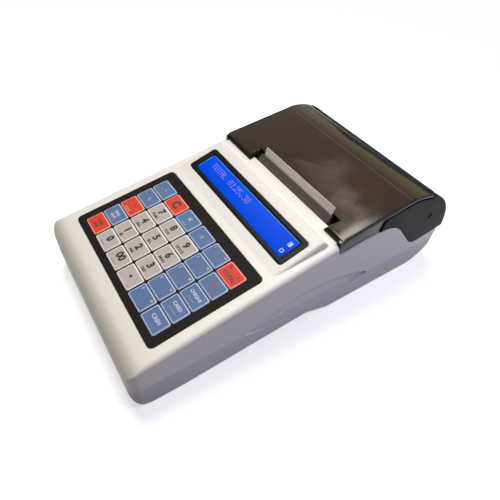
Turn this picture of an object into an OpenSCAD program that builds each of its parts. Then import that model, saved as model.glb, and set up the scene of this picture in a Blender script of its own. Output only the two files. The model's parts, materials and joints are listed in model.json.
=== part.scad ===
// Portable ticket register: wedge casing, thirty keys, one-line display and
// a ticket printer under a hinged cover. Millimetres, +Z up, front toward -Y,
// origin on the table under the middle of the casing.

/* [Casing] */
// Width across the two side walls
casing_w = 104; // [100:1:112]
// Length from the front face to the rear wall
casing_l = 196; // [194:1:204]
// Slope of the top face in degrees
top_slope = 11; // [10.5:0.1:11.5]
// Height of the top face where it would meet the front face
nose_h = 29.5; // [29:0.5:32]
// Thickness of the moulded walls
wall = 2; // [1.6:0.1:2.4]
// Height of the parting line between the two halves
split_z = 15.5; // [14.5:0.5:16.5]
// Radius of the nose between the top face and the front face
nose_r = 9; // [7:0.5:10]
// Radius of the toe between the front face and the base
toe_r = 10; // [8:0.5:10]
// Radius of the heel between the rear wall and the base
heel_r = 22; // [20:0.5:22]
// Radius of the upright corners
corner_r = 5; // [4:0.5:6]
// Radius of the long top edges
edge_r = 2.4; // [1.5:0.1:2.8]

/* [Underside] */
// Height of the rubber feet below the base
foot_h = 1; // [0.8:0.1:1.5]
// Radius of a rubber foot
foot_r = 5; // [4:0.5:6]
// Length of the flat pad under the front edge
toe_flat = 25; // [22:1:28]
// Height of the hollow at its highest point
arch_h = 5.6; // [4.5:0.1:6]
// Distance from the front face to the top of the hollow
arch_y = 96; // [92:1:100]
// Distance from the rear wall to the end of the hollow
arch_end = 84; // [82:1:86]

/* [Side grips] */
// Length of the finger grip in each side wall
grip_l = 79; // [60:1:80]
// Height of the finger grip
grip_h = 16.5; // [12:0.5:17]
// Depth of the finger grip at its upper edge
grip_d = 2.1; // [1:0.1:2.2]

/* [Keypad] */
// Distance from the front face to the black panel, along the base
pad_in = 12.9; // [12:0.1:15]
// Space between the black panel and the foot of the display hood
pad_gap = 4.2; // [3.8:0.1:5]
// Space between each side wall's face and the black panel
pad_margin = 6.6; // [6:0.1:7.4]
// Space between neighbouring keys across the machine
key_sx = 0.92; // [0.8:0.02:1.2]
// Space between neighbouring keys along the machine
key_sy = 0.52; // [0.45:0.01:0.7]
// Corner radius of a key
key_r = 1; // [0.5:0.1:1.5]
// Height of a key above the casing
key_up = 0.6; // [0.5:0.05:0.9]
// Travel of a key
key_travel = 0.4; // [0.3:0.05:0.5]
// Width of the black panel at the sides of the keys
pad_side = 4.7; // [3:0.1:5]
// Width of the black panel in front of the keys
pad_front = 3.8; // [3:0.1:5]
// Width of the black panel behind the keys
pad_rear = 6; // [3:0.1:6.5]
// Thickness of the rim of the black panel
pad_t = 1; // [0.8:0.1:1.1]

/* [Display] */
// Distance from the rear wall to the front edge of the display window
win_back = 117.3; // [116.5:0.1:118]
// Slope of the display in degrees
win_slope = 18.3; // [17.8:0.1:18.8]
// Height of the display hood over the top face at that edge
hood_up = 0.72; // [0.6:0.02:1]
// Space between each side wall's face and the display hood
hood_in = 4.8; // [4.2:0.1:5.5]
// Space between each side wall's face and the display window
win_in = 8.5; // [8:0.1:9.5]
// Length of the display window along its slope
win_l = 17.7; // [16.5:0.1:18]
// Width of the black frame at each end of the lit area
win_side = 3.4; // [3:0.1:5.5]
// Length of the lit area
lcd_l = 12.5; // [11:0.1:13]
// Length of the hood from the window's front edge to the ridge
hood_l = 22.2; // [21.6:0.1:22.6]

/* [Printer cover] */
// Length of the printer end, from the cover's front edge to the rear wall
printer_l = 88.7; // [88.2:0.1:89.2]
// Height of the crest of the cover over its front edge
crest_rise = 9.65; // [9.2:0.05:10.5]
// Radius of the rounded rear end
rear_r = 40; // [39:0.5:41]
// Thickness of the cover
cover_t = 2; // [1.6:0.1:2.2]
// How far the cover's edge lies inside the side walls
cover_in = 0.6; // [0.4:0.1:0.8]
// Height of the cover's front rim
rim_h = 2.95; // [2.6:0.05:3.2]
// Angle of the rear arc at which the cover ends, from the horizontal
cover_end = 69; // [68:0.5:71]
// Distance from the rear wall to the hinge line
pivot_in = 20.2; // [19.8:0.1:20.6]
// Distance from the crest down to the hinge line
pivot_down = 19; // [18.7:0.1:19.3]
// Radius of a hinge pin
pin_r = 2; // [1.6:0.1:2.2]
// Width of the ticket slot at the cover's front edge
slot_w = 63.5; // [62:0.5:65]
// Depth of the ticket slot in the cover
slot_l = 9.2; // [8.9:0.1:9.6]

/* [Ticket paper] */
// Width of the paper
paper_w = 57.5; // [56:0.5:58]
// Place of the paper's middle, right of the casing's middle
paper_x = 6.3; // [5.5:0.1:6.8]
// Radius of the paper roll
roll_r = 16; // [13:0.5:16]
// Outer radius of the paper core
core_r = 6.5; // [5:0.5:8]
// Height of the free paper over the crest line of the slot
tail_up = 8; // [2:0.5:10]

/* [Printer] */
// Radius of the rubber platen
platen_r = 5.5; // [5:0.1:5.6]
// Radius of the platen shaft
shaft_r = 1.5; // [1.2:0.1:2]
// Gear module
gear_m = 0.6; // [0.55:0.01:0.6]
// Teeth of the platen gear
platen_teeth = 22; // [20:1:22]
// Teeth of the idler gear
idler_teeth = 20; // [18:1:20]
// Teeth of the motor pinion
pinion_teeth = 12; // [11:1:13]
// Width of the gears
gear_w = 3; // [2:0.1:3.2]
// Radius of the feed motor
motor_r = 7.5; // [6:0.5:8]

/* [Fits] */
// Gap between seated mouldings
fit = 0.1; // [0.05:0.05:0.15]
// Gap around a sliding piece
slide_gap = 0.2; // [0.15:0.05:0.25]
// Gap around a swinging piece
swing_gap = 0.4; // [0.3:0.05:0.45]
// Radial gap of a turning fit
turn_gap = 0.05; // [0.03:0.01:0.08]

/* [Battery] */
// Width of the battery pack
pack_w = 44; // [38:1:46]
// Length of the battery pack
pack_l = 48; // [40:1:48]
// Space between the battery bay and the paper trough above it
pack_gap = 1.1; // [1:0.1:2]
// Thickness of the battery door
door_t = 1.2; // [1:0.1:1.3]

/* [Hidden] */
$fn = 48;
y_front = -casing_l / 2;
y_rear = casing_l / 2;
hw = casing_w / 2;
function top_z(y) = nose_h + (y - y_front) * tan(top_slope);
cover_y = y_rear - printer_l;
cover_z = top_z(cover_y);
crest_z = cover_z + crest_rise;
rear_c = [y_rear - rear_r, crest_z - rear_r];
pivot = [y_rear - pivot_in, crest_z - pivot_down];
rim_run = 1.7;
line_p = [cover_y + rim_run, cover_z + rim_h];
line_k = (crest_z - line_p.y) / (rear_c.x - line_p.x);
line_a = atan(line_k);
function line_z(y) = line_p.y + (y - line_p.x) * line_k;
cover_hw = hw - cover_in;
lip_y = cover_y + 3.8;
seam_r = 41.7;
// shift of the printer end from its own reference place
dy = y_rear;
dz = crest_z;
floor_z = foot_h;

function arc(c, r, a0, a1, n = 10) =
    [for (i = [0:n]) let (a = a0 + (a1 - a0) * i / n) c + r * [cos(a), sin(a)]];
// a disc of flat facets, for shapes in which nothing turns
module disc(c, r, n = 72) { polygon(arc(c, r, 0, 360 - 360 / n, n - 1)); }
// a polygon whose corners are rounded, each by its own radius
function rnd(P, R, n = 5) = [for (i = [0:len(P) - 1])
    let (p = P[i], a = P[(i + len(P) - 1) % len(P)] - p, b = P[(i + 1) % len(P)] - p,
        ua = a / norm(a), ub = b / norm(b), h = acos(ua * ub) / 2)
    each R[i] == 0 ? [p] :
        let (c = p + (ua + ub) / norm(ua + ub) * R[i] / sin(h),
            s = p + ua * R[i] / tan(h) - c, e = p + ub * R[i] / tan(h) - c,
            a0 = atan2(s.y, s.x), d0 = atan2(e.y, e.x) - a0,
            d = d0 > 180 ? d0 - 360 : d0 < -180 ? d0 + 360 : d0)
        [for (k = [0:n]) c + R[i] * [cos(a0 + d * k / n), sin(a0 + d * k / n)]]];

// an outline in the side view, drawn out across the machine
module prism(x0, x1) { translate([x0, 0, 0]) rotate([90, 0, 90]) linear_extrude(x1 - x0) children(); }
module both() { children(); mirror([1, 0, 0]) children(); }
module box(x0, x1, y0, y1, z0, z1) { translate([x0, y0, z0]) cube([x1 - x0, y1 - y0, z1 - z0]); }
module rrect(w, l, r) {
    square([w - 2 * r, l], center = true);
    square([w, l - 2 * r], center = true);
    for (x = [-1, 1], y = [-1, 1]) translate([x * (w / 2 - r), y * (l / 2 - r)]) circle(r);
}
// the frame of a sloping face: x across, y up the slope, z out of it
module on_slope(y, z, a) { translate([0, y, z]) rotate([a, 0, 0]) children(); }
module rod(x0, x1, p, r) { translate([x0, p.x, p.y]) rotate([0, 90, 0]) cylinder(h = x1 - x0, r = r); }
module plan(t) {
    translate([0, 0, -5]) linear_extrude(crest_z + 20) rrect(casing_w - 2 * t, casing_l - 2 * t, corner_r - t);
}
// the waste outside a rounded edge that runs along a straight line at x
module edge_bar(p0, p1, x, r) {
    l = norm(p1 - p0);
    translate([0, p0.x, p0.y]) rotate([atan2(p1.y - p0.y, p1.x - p0.x), 0, 0]) translate([0, l, 0])
        rotate([90, 0, 0]) linear_extrude(l) difference() {
            translate([x - r, -r]) square(r + 2);
            polygon(concat([[x - r - 1, -r - 1]], [[x, -r - 1]], arc([x - r, -r], r, 0, 90, 6), [[x - r - 1, 0]]));
        }
}

// ---- side outlines ----
nose_c = [y_front + nose_r, top_z(y_front + nose_r) - nose_r / cos(top_slope)];
toe_c = [y_front + toe_r, floor_z + toe_r];
heel_c = [y_rear - heel_r, floor_z + heel_r];
belly_y0 = y_front + toe_flat;
belly_y1 = y_front + arch_y;
belly_y2 = y_rear - arch_end;
module body2d(t) {
    polygon(concat(
        arc(nose_c, nose_r - t, 90 + top_slope, 180),
        arc(toe_c, toe_r - t, 180, 270, 8),
        rnd([[belly_y0, floor_z + t], [belly_y1, floor_z + arch_h + t], [belly_y2, floor_z + t],
            [heel_c.x, floor_z + t]], [0, 12, 1.5, 0]),
        arc(heel_c, heel_r - t, 270, 360, 12),
        [[y_rear - t, top_z(y_rear) - t / cos(top_slope)]]));
}
// the seam between the white side walls and the charcoal rear housing
seam_p = [dy - 59.5, dz - 12.5];
seam_a = seam_p - [0, 22];
seam_m = seam_a + 22 * [cos(42), sin(42)] + 19.5 * [cos(48), -sin(48)];
seam_b = seam_m + 11 * [sin(48), cos(48)];
seam_e = seam_b + 11 * [cos(278.5), sin(278.5)];
module above_seam2d(up = 0) {
    translate([0, up]) polygon(concat(
        [[cover_y - 0.4, 95], [cover_y - 0.4, cover_z - 0.8]],
        arc([cover_y + 2.6, cover_z - 3.1], 3, 180, 262, 6),
        arc(seam_a, 22, 97, 42, 8), arc(seam_b, 11, 222, 278.5, 8),
        [[y_rear + 9, seam_e.y + (y_rear + 9 - seam_e.x) * tan(8.5)], [y_rear + 9, 95]]));
}
// everything lower than the cover's underside by t
module under_cover2d(t) {
    polygon(concat(
        [[cover_y - 2, 0], [cover_y - 2, line_z(cover_y - 2) - t / cos(line_a)],
            [rear_c.x - (rear_r - t) * sin(line_a), line_z(rear_c.x - (rear_r - t) * sin(line_a)) - t / cos(line_a)]],
        arc(rear_c, rear_r - t, 90, 50, 8), [[rear_c.x + 30, 0]]));
}
edge_o = rear_c + rear_r * [cos(cover_end), sin(cover_end)];
edge_i = rear_c + (rear_r - cover_t) * [cos(cover_end), sin(cover_end)];
drum_y = edge_o.x + swing_gap;
step_r = norm(edge_i - pivot) - swing_gap;
module drum2d(t) {
    intersection() {
        disc(rear_c, rear_r - t, 120);
        translate([drum_y + t, 0]) square([60, 90]);
        union() {
            disc(pivot, step_r - t, 60);
            translate([pivot.x - 2.6 + t, 0]) square([60, 90]);
            square([200, pivot.y]);
        }
    }
}
module arm_slot2d() {
    disc(pivot, 6.4, 36);
    polygon(concat([pivot], [for (a = [20:20:200]) pivot + 34 * [cos(a), sin(a)]]));
}

// ---- casing ----
// an almond-shaped scoop with a crisp upper edge and a soft lower edge
grip_y = -0.8;
grip_z = 10.2;
// radius of the arc that rises by s over the grip's length
function grip_arc(s) = (grip_l * grip_l / 4 + s * s) / (2 * s);
module grip_cut() {
    ru = grip_arc(0.6 * grip_h);
    rl = grip_arc(0.32 * grip_h);
    both() intersection() {
        prism(hw - 4, hw + 1) polygon(concat(
            arc([grip_y, grip_z + grip_h - ru], ru, 90 - asin(grip_l / 2 / ru), 90 + asin(grip_l / 2 / ru), 20),
            arc([grip_y, grip_z + rl], rl, 270 - asin(grip_l / 2 / rl), 270 + asin(grip_l / 2 / rl), 16)));
        translate([0, y_rear, 0]) rotate([90, 0, 0]) linear_extrude(casing_l)
            polygon([[hw + 1, grip_z - 1.4], [hw, grip_z - 0.4], [hw - 0.62 * grip_d, grip_z + 0.42 * grip_h],
                [hw - grip_d, grip_z + grip_h - 2], [hw - grip_d, 40], [hw + 1, 40]]);
    }
}
module grip_backing(z0, z1) {
    both() box(hw - wall - 1.4, hw - wall + 0.1, grip_y - grip_l / 2 - 3, grip_y + grip_l / 2 - 1, z0, z1);
}
// pieces of a moulding, trimmed to its outer shape
module within_skin() {
    intersection() {
        prism(-hw, hw) body2d(0);
        plan(0);
        union() { children(); }
    }
}
module shell() {
    difference() {
        intersection() {
            prism(-hw, hw) body2d(0);
            plan(0);
        }
        intersection() {
            prism(-hw + wall, hw - wall) body2d(wall);
            plan(wall);
        }
    }
}
boss_r = 3.4;
screw_x = hw - wall - boss_r + 0.5;
screw_ys = [y_front + 21, y_rear - 33];
screw_r = 1.4;

// ---- display measures, in the frame of the sloping window ----
hood_half = hw - hood_in;
win_w = casing_w - 2 * win_in;
lcd_w = win_w - 2 * win_side;
win_y = y_rear - win_back;
win_z = top_z(win_y) + hood_up;
hood_k = tan(win_slope);
ridge_y = win_y + hood_l;
ridge_z = win_z + hood_l * hood_k;
hood_y0 = win_y - hood_up / (hood_k - tan(top_slope));
lcd_t = 3.4;

// ---- keypad measures, in the frame of the top face ----
pad_y = y_front + pad_in;
pad_z = top_z(pad_y);
pad_w = casing_w - 2 * pad_margin;
pad_l = (hood_y0 - pad_gap - pad_y) / cos(top_slope);
field_w = pad_w - 2 * pad_side;
field_l = pad_l - pad_front - pad_rear;
key_px = (field_w + key_sx) / 6;
key_py = (field_l + key_sy) / 5;
key_w = key_px - key_sx;
key_l = key_py - key_sy;
pad_up = 0.2;
tray_z = -1.2;
tray_t = 1.2;
key_fit = 0.1;
tray_m = key_fit;
field_y = pad_front + field_l / 2;
flange_t = 0.8;
flange_z = tray_z - tray_t - 0.1 - flange_t;
mat_z = flange_z - key_travel - 0.5;
mat_t = 0.8;
board_z = mat_z - mat_t;
board_t = 1.6;
stem_w = 0.578 * key_w;
stem_l = 0.484 * key_l;
flange_w = stem_w + 1.4;
flange_l = stem_l + 1.2;
collar_w = flange_w + 2;
collar_l = flange_l + 2;
module on_pad() { on_slope(pad_y, pad_z, top_slope) children(); }
module at_keys() {
    for (c = [0:5], r = [0:4]) translate([(c - 2.5) * key_px, field_y + (r - 2) * key_py, 0]) children();
}

// ---- display hood ----
module on_win() { on_slope(win_y, win_z, win_slope) children(); }
module hood2d(t) {
    a = t / cos(win_slope);
    y0 = t > 0 ? hood_y0 + t : hood_y0 - 3;
    // the space under the hood reaches through the wall below it
    low = t > 0 ? wall + 2 : 2.3;
    polygon(rnd([[y0 + 2 * t, top_z(y0 + 2 * t) - low], [y0, win_z - (win_y - y0) * hood_k - a],
        [ridge_y - 0.6 * t, ridge_z - a - 0.2 * t], [ridge_y + 3.6 - t, top_z(ridge_y + 3.6) - 0.6 - a],
        [ridge_y + 3.6 - t, top_z(ridge_y + 3.6) - low - 0.2]], [0, 0, 1.6, 0, 0]));
}

module upper_casing() {
    color("gainsboro") difference() {
        union() {
            difference() {
                intersection() {
                    shell();
                    box(-hw, hw, y_front, y_rear, split_z, 90);
                }
                prism(-hw - 1, hw + 1) intersection() {
                    above_seam2d();
                    translate([lip_y, 0]) square([200, 95]);
                }
                both() prism(hw - 3.2, hw + 1) above_seam2d();
                both() edge_bar([y_front - 2, top_z(y_front - 2)], [cover_y, cover_z], hw, edge_r);
            }
            difference() {
                both() prism(0, hood_half) hood2d(0);
                both() edge_bar([hood_y0 - 4, win_z - (win_y - hood_y0 + 4) * hood_k], [ridge_y + 5, ridge_z + 5 * hood_k],
                    hood_half, 1.5);
            }
            box(-hw + 3.2, hw - 3.2, lip_y - 2, lip_y, cover_z - 4, cover_z - 0.5);
            grip_backing(split_z, grip_z + grip_h + 1.7);
            for (y = screw_ys) both() difference() {
                translate([screw_x, y, split_z]) cylinder(h = 8.2, r = boss_r);
                translate([screw_x, y, split_z - 1]) cylinder(h = 8.5, r = screw_r);
            }
            // posts that the keypad board is screwed to
            on_pad() both() for (y = [3, pad_l - 3]) translate([hw - 6, y, board_z])
                cylinder(h = -1 - board_z, r = 2);
            // shelf over the connector recess
            box(port_x0 - wall, port_x1 + wall, port_y - wall, y_rear - wall / 2, split_z, split_z + wall);
        }
        grip_cut();
        prism(-hood_half + wall, hood_half - wall) hood2d(wall);
        on_pad() {
            translate([0, pad_l / 2, pad_up - pad_t]) linear_extrude(9) rrect(pad_w + 2 * fit, pad_l + 2 * fit, 2.7);
            translate([0, field_y, -4]) linear_extrude(9)
                rrect(field_w + 2 * tray_m + 1.6 + 2 * fit, field_l + 2 * tray_m + 1.6 + 2 * fit, 1.2);
        }
        on_win() {
            translate([0, win_l / 2, -0.8]) linear_extrude(9) rrect(win_w + 2 * fit, win_l + 2 * fit, 2);
            translate([0, win_l / 2, -4]) linear_extrude(9) rrect(lcd_w + 3.4, lcd_l + 2.6, 1);
        }
    }
}
trough_w = paper_w + 2;
trough_r = roll_r + 0.4;
roll_c = [dy - 43, dz - 27];
port_x0 = -38;
port_x1 = -8;
port_y = y_rear - 9;
port_z0 = 4;
door_w = pack_w + 4;
door_y0 = belly_y2 + 0.4;
door_y1 = door_y0 + pack_l + 8;
pack_y = door_y0 + 4 + pack_l / 2;
tongue = 1.4;
bay_w = pack_w + 2 * slide_gap;
module lower_casing() {
    color("lightgray") difference() {
        within_skin() {
            intersection() {
                shell();
                box(-hw, hw, y_front, y_rear, 0, split_z);
            }
            grip_backing(grip_z - 5, split_z);
            for (y = screw_ys) both() translate([screw_x, y, floor_z + 0.5])
                cylinder(h = split_z - floor_z - 0.5, r = boss_r);
            both() for (y = [y_front + 17.5, y_rear - 32]) translate([hw - 17, y, floor_z + 0.2])
                cylinder(h = wall + 1.2, r = foot_r + 1.4);
            // battery bay
            box(-bay_w / 2 - 3.4, bay_w / 2 + 3.4, door_y0 + 1, door_y1 + 3, floor_z + 0.2, floor_z + 4);
            box(-bay_w / 2 - 1.4, bay_w / 2 + 1.4, pack_y - pack_l / 2 - 1.6, pack_y + pack_l / 2 + 1.6,
                floor_z + 0.2, bay_top + 1);
            // connector recess
            box(port_x0 - wall, port_x1 + wall, port_y - wall, y_rear + 1, port_z0 - wall, split_z);
            // posts under the main board
            both() for (y = [board_y0 + 6, board_y1 - 5]) translate([34, y, floor_z + 1])
                cylinder(h = main_z - floor_z - 1, r = 2.6);
        }
        grip_cut();
        box(port_x0, port_x1, port_y, y_rear + 9, port_z0, split_z + 1);
        translate([serial_x, port_y - 5, port_cz]) cube([serial_w + 2 * fit, 20, serial_h + 2 * fit], center = true);
        translate([inlet_x, port_y - 5, port_cz]) rotate([-90, 0, 0]) cylinder(h = 20, r = inlet_r + fit);
        for (y = screw_ys) both() translate([screw_x, y, -1]) {
            cylinder(h = 40, r = screw_r + 0.2);
            cylinder(h = floor_z + 1 + 3.5, r = 2.9);
        }
        both() for (y = [y_front + 17.5, y_rear - 32]) translate([hw - 17, y, -1])
            cylinder(h = 1.6 + floor_z, r = foot_r + fit);
        // the door's pocket, its grooves and the battery bay
        box(-door_w / 2 - slide_gap, door_w / 2 + slide_gap, belly_y2 - 9, door_y1 + slide_gap, -1,
            floor_z + door_t + slide_gap);
        box(-door_w / 2 - tongue - slide_gap, door_w / 2 + tongue + slide_gap, belly_y2 - 9, door_y1 + slide_gap,
            floor_z + 0.5 - slide_gap, floor_z + door_t + slide_gap);
        box(-bay_w / 2, bay_w / 2, pack_y - pack_l / 2 - slide_gap, pack_y + pack_l / 2 + slide_gap, 0, bay_top);
    }
}
pack_z = floor_z + door_t + 0.3;
bay_top = dz - 27 - trough_r - wall - pack_gap - 1;
pack_h = bay_top - slide_gap - pack_z;
main_z = 10.4;
board_y0 = y_front + 30;
board_y1 = belly_y2 - 3;
serial_x = -29.5;
serial_w = 12;
serial_h = 7.6;
inlet_x = -15;
inlet_r = 4;
port_cz = port_z0 + 6.6;

// ---- rear housing: cheeks, printer well, paper trough and drum ----
platen_c = [cover_y + 13.7, dz - 15];
idler_c = platen_c + gear_m * (platen_teeth + idler_teeth) / 2 * [cos(25), -sin(25)];
pinion_c = idler_c + gear_m * (idler_teeth + pinion_teeth) / 2 * [cos(15), -sin(15)];
cheek_t = 2.4;
tub_hw = hw - 3.6;
// free space around the feed motor, below it and beside it
motor_low = 0.4;
motor_gap = 2.45;
deck_z = dz - 19;
// the deck widens to the cheeks behind the seam
deck_y = dy - 41.6;
well_z = pinion_c.y - motor_r - motor_low - wall;
well_y1 = cover_y + 27;
well_y2 = cover_y + 46.5;
trough_x0 = paper_x - trough_w / 2;
trough_x1 = paper_x + trough_w / 2;
module rear_housing() {
    color("darkslategray") difference() {
        union() {
            both() prism(hw - cheek_t, hw) intersection() {
                disc(pivot, seam_r - swing_gap / 2, 120);
                above_seam2d();
                union() {
                    intersection() {
                        under_cover2d(cover_t + swing_gap);
                        square([drum_y + 1, 90]);
                    }
                    drum2d(0);
                }
            }
            // drum wall between the cheeks
            prism(-hw + 1, hw - 1) difference() {
                intersection() {
                    drum2d(0);
                    above_seam2d();
                }
                drum2d(wall);
            }
            both() prism(arm_x0 - swing_gap - wall, arm_x0 - swing_gap) intersection() {
                drum2d(0);
                translate([0, deck_z - 2]) square([200, 90]);
            }
            // side walls of the tub
            both() prism(tub_hw - wall, tub_hw) intersection() {
                under_cover2d(cover_t + swing_gap);
                translate([lip_y, well_z]) square([dy - 40 - lip_y, 60]);
            }
            // deck
            box(-hw + 1, hw - 1, deck_y, drum_y + wall, deck_z - wall, deck_z);
            box(-tub_hw, tub_hw, lip_y, deck_y + 1, deck_z - wall, deck_z);
            // well floor and walls
            box(-tub_hw, tub_hw, lip_y, well_y1 + wall, well_z, well_z + wall);
            box(-tub_hw, trough_x0 - wall, lip_y, well_y2 + wall, well_z, well_z + wall);
            box(-tub_hw, tub_hw, lip_y, lip_y + 1.2, well_z, deck_z + 4);
            box(-tub_hw, trough_x0 - wall, well_y2, well_y2 + wall, well_z, deck_z);
            box(trough_x0 - wall, tub_hw, well_y1, well_y1 + wall, well_z, deck_z);
            // trough
            prism(trough_x0 - wall, trough_x1 + wall) intersection() {
                disc(roll_c, trough_r + wall);
                translate([0, -20]) square([200, deck_z + 20]);
            }
        }
        both() translate([0, 0, 0]) prism(arm_x0 - swing_gap, arm_x1 + swing_gap) arm_slot2d();
        both() rod(hw - cheek_t - 1, hw + 1, pivot, pin_r);
        // paper way from the trough to the well
        prism(trough_x0, trough_x1) {
            disc(roll_c, trough_r);
            translate([well_y1 - 3, roll_c.y + 5]) square([20, 30]);
            translate([roll_c.x - trough_r, roll_c.y]) square([2 * trough_r, 30]);
        }
        // openings of the well
        box(-tub_hw + wall, tub_hw - wall, lip_y + 1.2, well_y1, well_z + wall, 90);
        box(-tub_hw + wall, trough_x0 - 1.9, lip_y + 1.2, well_y2, well_z + wall, 90);
        box(paper_x - paper_w / 2 - 2, paper_x + paper_w / 2 + 2, lip_y - 1, lip_y + 3, deck_z - 9, 90);
        // the middle of the deck, over the trough's ends only
        both() grip_space();
    }
}
// room for the screw bosses of the casing
module grip_space() {
    translate([screw_x, screw_ys[1], 0]) cylinder(h = split_z + 9, r = boss_r + 0.3);
}

// ---- cover ----
arm_x0 = hw - 6;
arm_x1 = hw - 3.6;
hub_r = 4.5;
slot_x0 = paper_x - slot_w / 2;
slot_x1 = paper_x + slot_w / 2;
module cover_band2d() {
    zi = line_z(line_p.x + 1.4) - cover_t / cos(line_a);
    q = rear_c.x - (rear_r - cover_t) * sin(line_a);
    polygon(concat(
        rnd([[cover_y + 2, cover_z + 0.65], [cover_y, cover_z + 0.3], line_p, [rear_c.x, crest_z - 0.01]],
            [0.3, 0.4, 1, 0]),
        arc(rear_c, rear_r, 89, cover_end, 8),
        arc(rear_c, rear_r - cover_t, cover_end, 90, 8),
        [[q, line_z(q) - cover_t / cos(line_a)], [line_p.x + 1.4, zi]]));
}
module printer_cover() {
    color([0.22, 0.2, 0.17]) difference() {
        union() {
            prism(-cover_hw, cover_hw) cover_band2d();
            both() prism(cover_hw - cover_t, cover_hw) difference() {
                intersection() {
                    above_seam2d(swing_gap);
                    under_cover2d(0.5);
                    translate([cover_y, 0]) square([60, 90]);
                }
                disc(pivot, seam_r + swing_gap / 2, 120);
            }
            both() prism(arm_x0, arm_x1) difference() {
                union() {
                    translate(pivot) circle(hub_r);
                    intersection() {
                        under_cover2d(0.5);
                        polygon([pivot + [-hub_r, -1], pivot + [2, 4], edge_i + [-0.3, 0.4], [rear_c.x - 2, 90],
                            [rear_c.x - 6, 90], [rear_c.x - 6, crest_z - 8]]);
                    }
                }
                translate(pivot) circle(pin_r + turn_gap);
            }
        }
        translate([0, cover_y + slot_l, 0]) rotate([90, 0, 0]) linear_extrude(slot_l + 4)
            polygon([[slot_x0, cover_z - 5], [slot_x1, cover_z - 5], [slot_x1, cover_z], [slot_x1 + 2.7, cover_z + 4.5],
                [slot_x1 + 2.7, 90], [slot_x0 - 3.1, 90], [slot_x0 - 3.1, cover_z + 4.5], [slot_x0, cover_z]]);
    }
}
module cover_pins() {
    color("silver") both() difference() {
        rod(arm_x0 - 0.2, hw - 0.5, pivot, pin_r);
        rod(hw - 0.7, hw, pivot, 1);
    }
}

// ---- keypad ----
module keypad_panel() {
    color([0.16, 0.14, 0.13]) on_pad() difference() {
        union() {
            translate([0, pad_l / 2, pad_up - pad_t]) linear_extrude(pad_t) rrect(pad_w, pad_l, 2.6);
            translate([0, field_y, tray_z - tray_t]) linear_extrude(pad_up - tray_z + tray_t - pad_t + 0.1)
                rrect(field_w + 2 * tray_m + 1.6, field_l + 2 * tray_m + 1.6, 1.1);
        }
        translate([0, 0, tray_z]) linear_extrude(9) at_keys() rrect(key_w + 2 * key_fit, key_l + 2 * key_fit, key_r);
        translate([0, 0, tray_z - 5]) linear_extrude(9) at_keys()
            square([stem_w + 2 * slide_gap, stem_l + 2 * slide_gap], center = true);
    }
}
module key_mat() {
    color("dimgray") on_pad() {
        translate([0, field_y, mat_z - mat_t]) linear_extrude(mat_t) rrect(field_w + 4, field_l + 3, 2);
        translate([0, 0, mat_z - 0.1]) linear_extrude(flange_z + 0.5 - mat_z) at_keys() difference() {
            square([collar_w, collar_l], center = true);
            square([flange_w + 2 * slide_gap, flange_l + 2 * slide_gap], center = true);
        }
    }
}
module keypad_board() {
    color("darkgreen") on_pad() difference() {
        translate([0, pad_l / 2, board_z - board_t]) linear_extrude(board_t) rrect(casing_w - 8, pad_l, 1.5);
        both() for (y = [3, pad_l - 3]) translate([hw - 6, y, board_z - 9]) cylinder(h = 20, r = 1);
    }
}
// name, column from the left, row from the front, colour
KEYS = [
    ["key_cancel", 0, 0, 2], ["key_0", 1, 0, 0], ["key_00", 2, 0, 0], ["key_point", 3, 0, 0],
    ["key_dept_5", 4, 0, 1], ["key_cash", 5, 0, 1],
    ["key_paid_out", 0, 1, 1], ["key_1", 1, 1, 0], ["key_2", 2, 1, 0], ["key_3", 3, 1, 0],
    ["key_dept_4", 4, 1, 1], ["key_card", 5, 1, 1],
    ["key_minus", 0, 2, 2], ["key_4", 1, 2, 0], ["key_5", 2, 2, 0], ["key_6", 3, 2, 0],
    ["key_dept_3", 4, 2, 1], ["key_cheque", 5, 2, 1],
    ["key_feed", 0, 3, 1], ["key_7", 1, 3, 0], ["key_8", 2, 3, 0], ["key_9", 3, 3, 0],
    ["key_dept_2", 4, 3, 1], ["key_subtotal", 5, 3, 1],
    ["key_function", 0, 4, 1], ["key_clear", 1, 4, 2], ["key_multiply", 2, 4, 1], ["key_mode", 3, 4, 1],
    ["key_dept_1", 4, 4, 1], ["key_total", 5, 4, 2]];
key_gap = tray_z + key_travel + 0.1;
module one_key(k) {
    color(["silver", "steelblue", "tomato"][k[3]]) on_pad()
        translate([(k[1] - 2.5) * key_px, field_y + (k[2] - 2) * key_py, 0]) {
            translate([0, 0, key_gap]) linear_extrude(key_up - 0.2 - key_gap) rrect(key_w, key_l, key_r);
            translate([0, 0, key_gap]) linear_extrude(key_up - key_gap) rrect(key_w - 0.5, key_l - 0.5, key_r);
            translate([0, 0, flange_z]) linear_extrude(key_gap - flange_z + 0.1)
                square([stem_w, stem_l], center = true);
            translate([0, 0, flange_z]) linear_extrude(flange_t) square([flange_w, flange_l], center = true);
        }
}

// ---- display ----
module display_window() {
    color([0.13, 0.12, 0.12]) on_win() difference() {
        translate([0, win_l / 2, -0.8]) linear_extrude(1.1) rrect(win_w, win_l, 1.9);
        translate([0, win_l / 2, -3]) linear_extrude(9) rrect(lcd_w, lcd_l, 1);
    }
}
module lcd_module() {
    color([0, 0.3, 0.9]) on_win() {
        translate([0, win_l / 2, -0.8 - lcd_t]) linear_extrude(lcd_t) rrect(lcd_w + 3, lcd_l + 2.2, 0.8);
        translate([0, win_l / 2, -0.9 - lcd_t]) linear_extrude(1.6 + lcd_t - 1.1) rrect(lcd_w - 0.4, lcd_l - 0.4, 0.8);
    }
}

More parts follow.
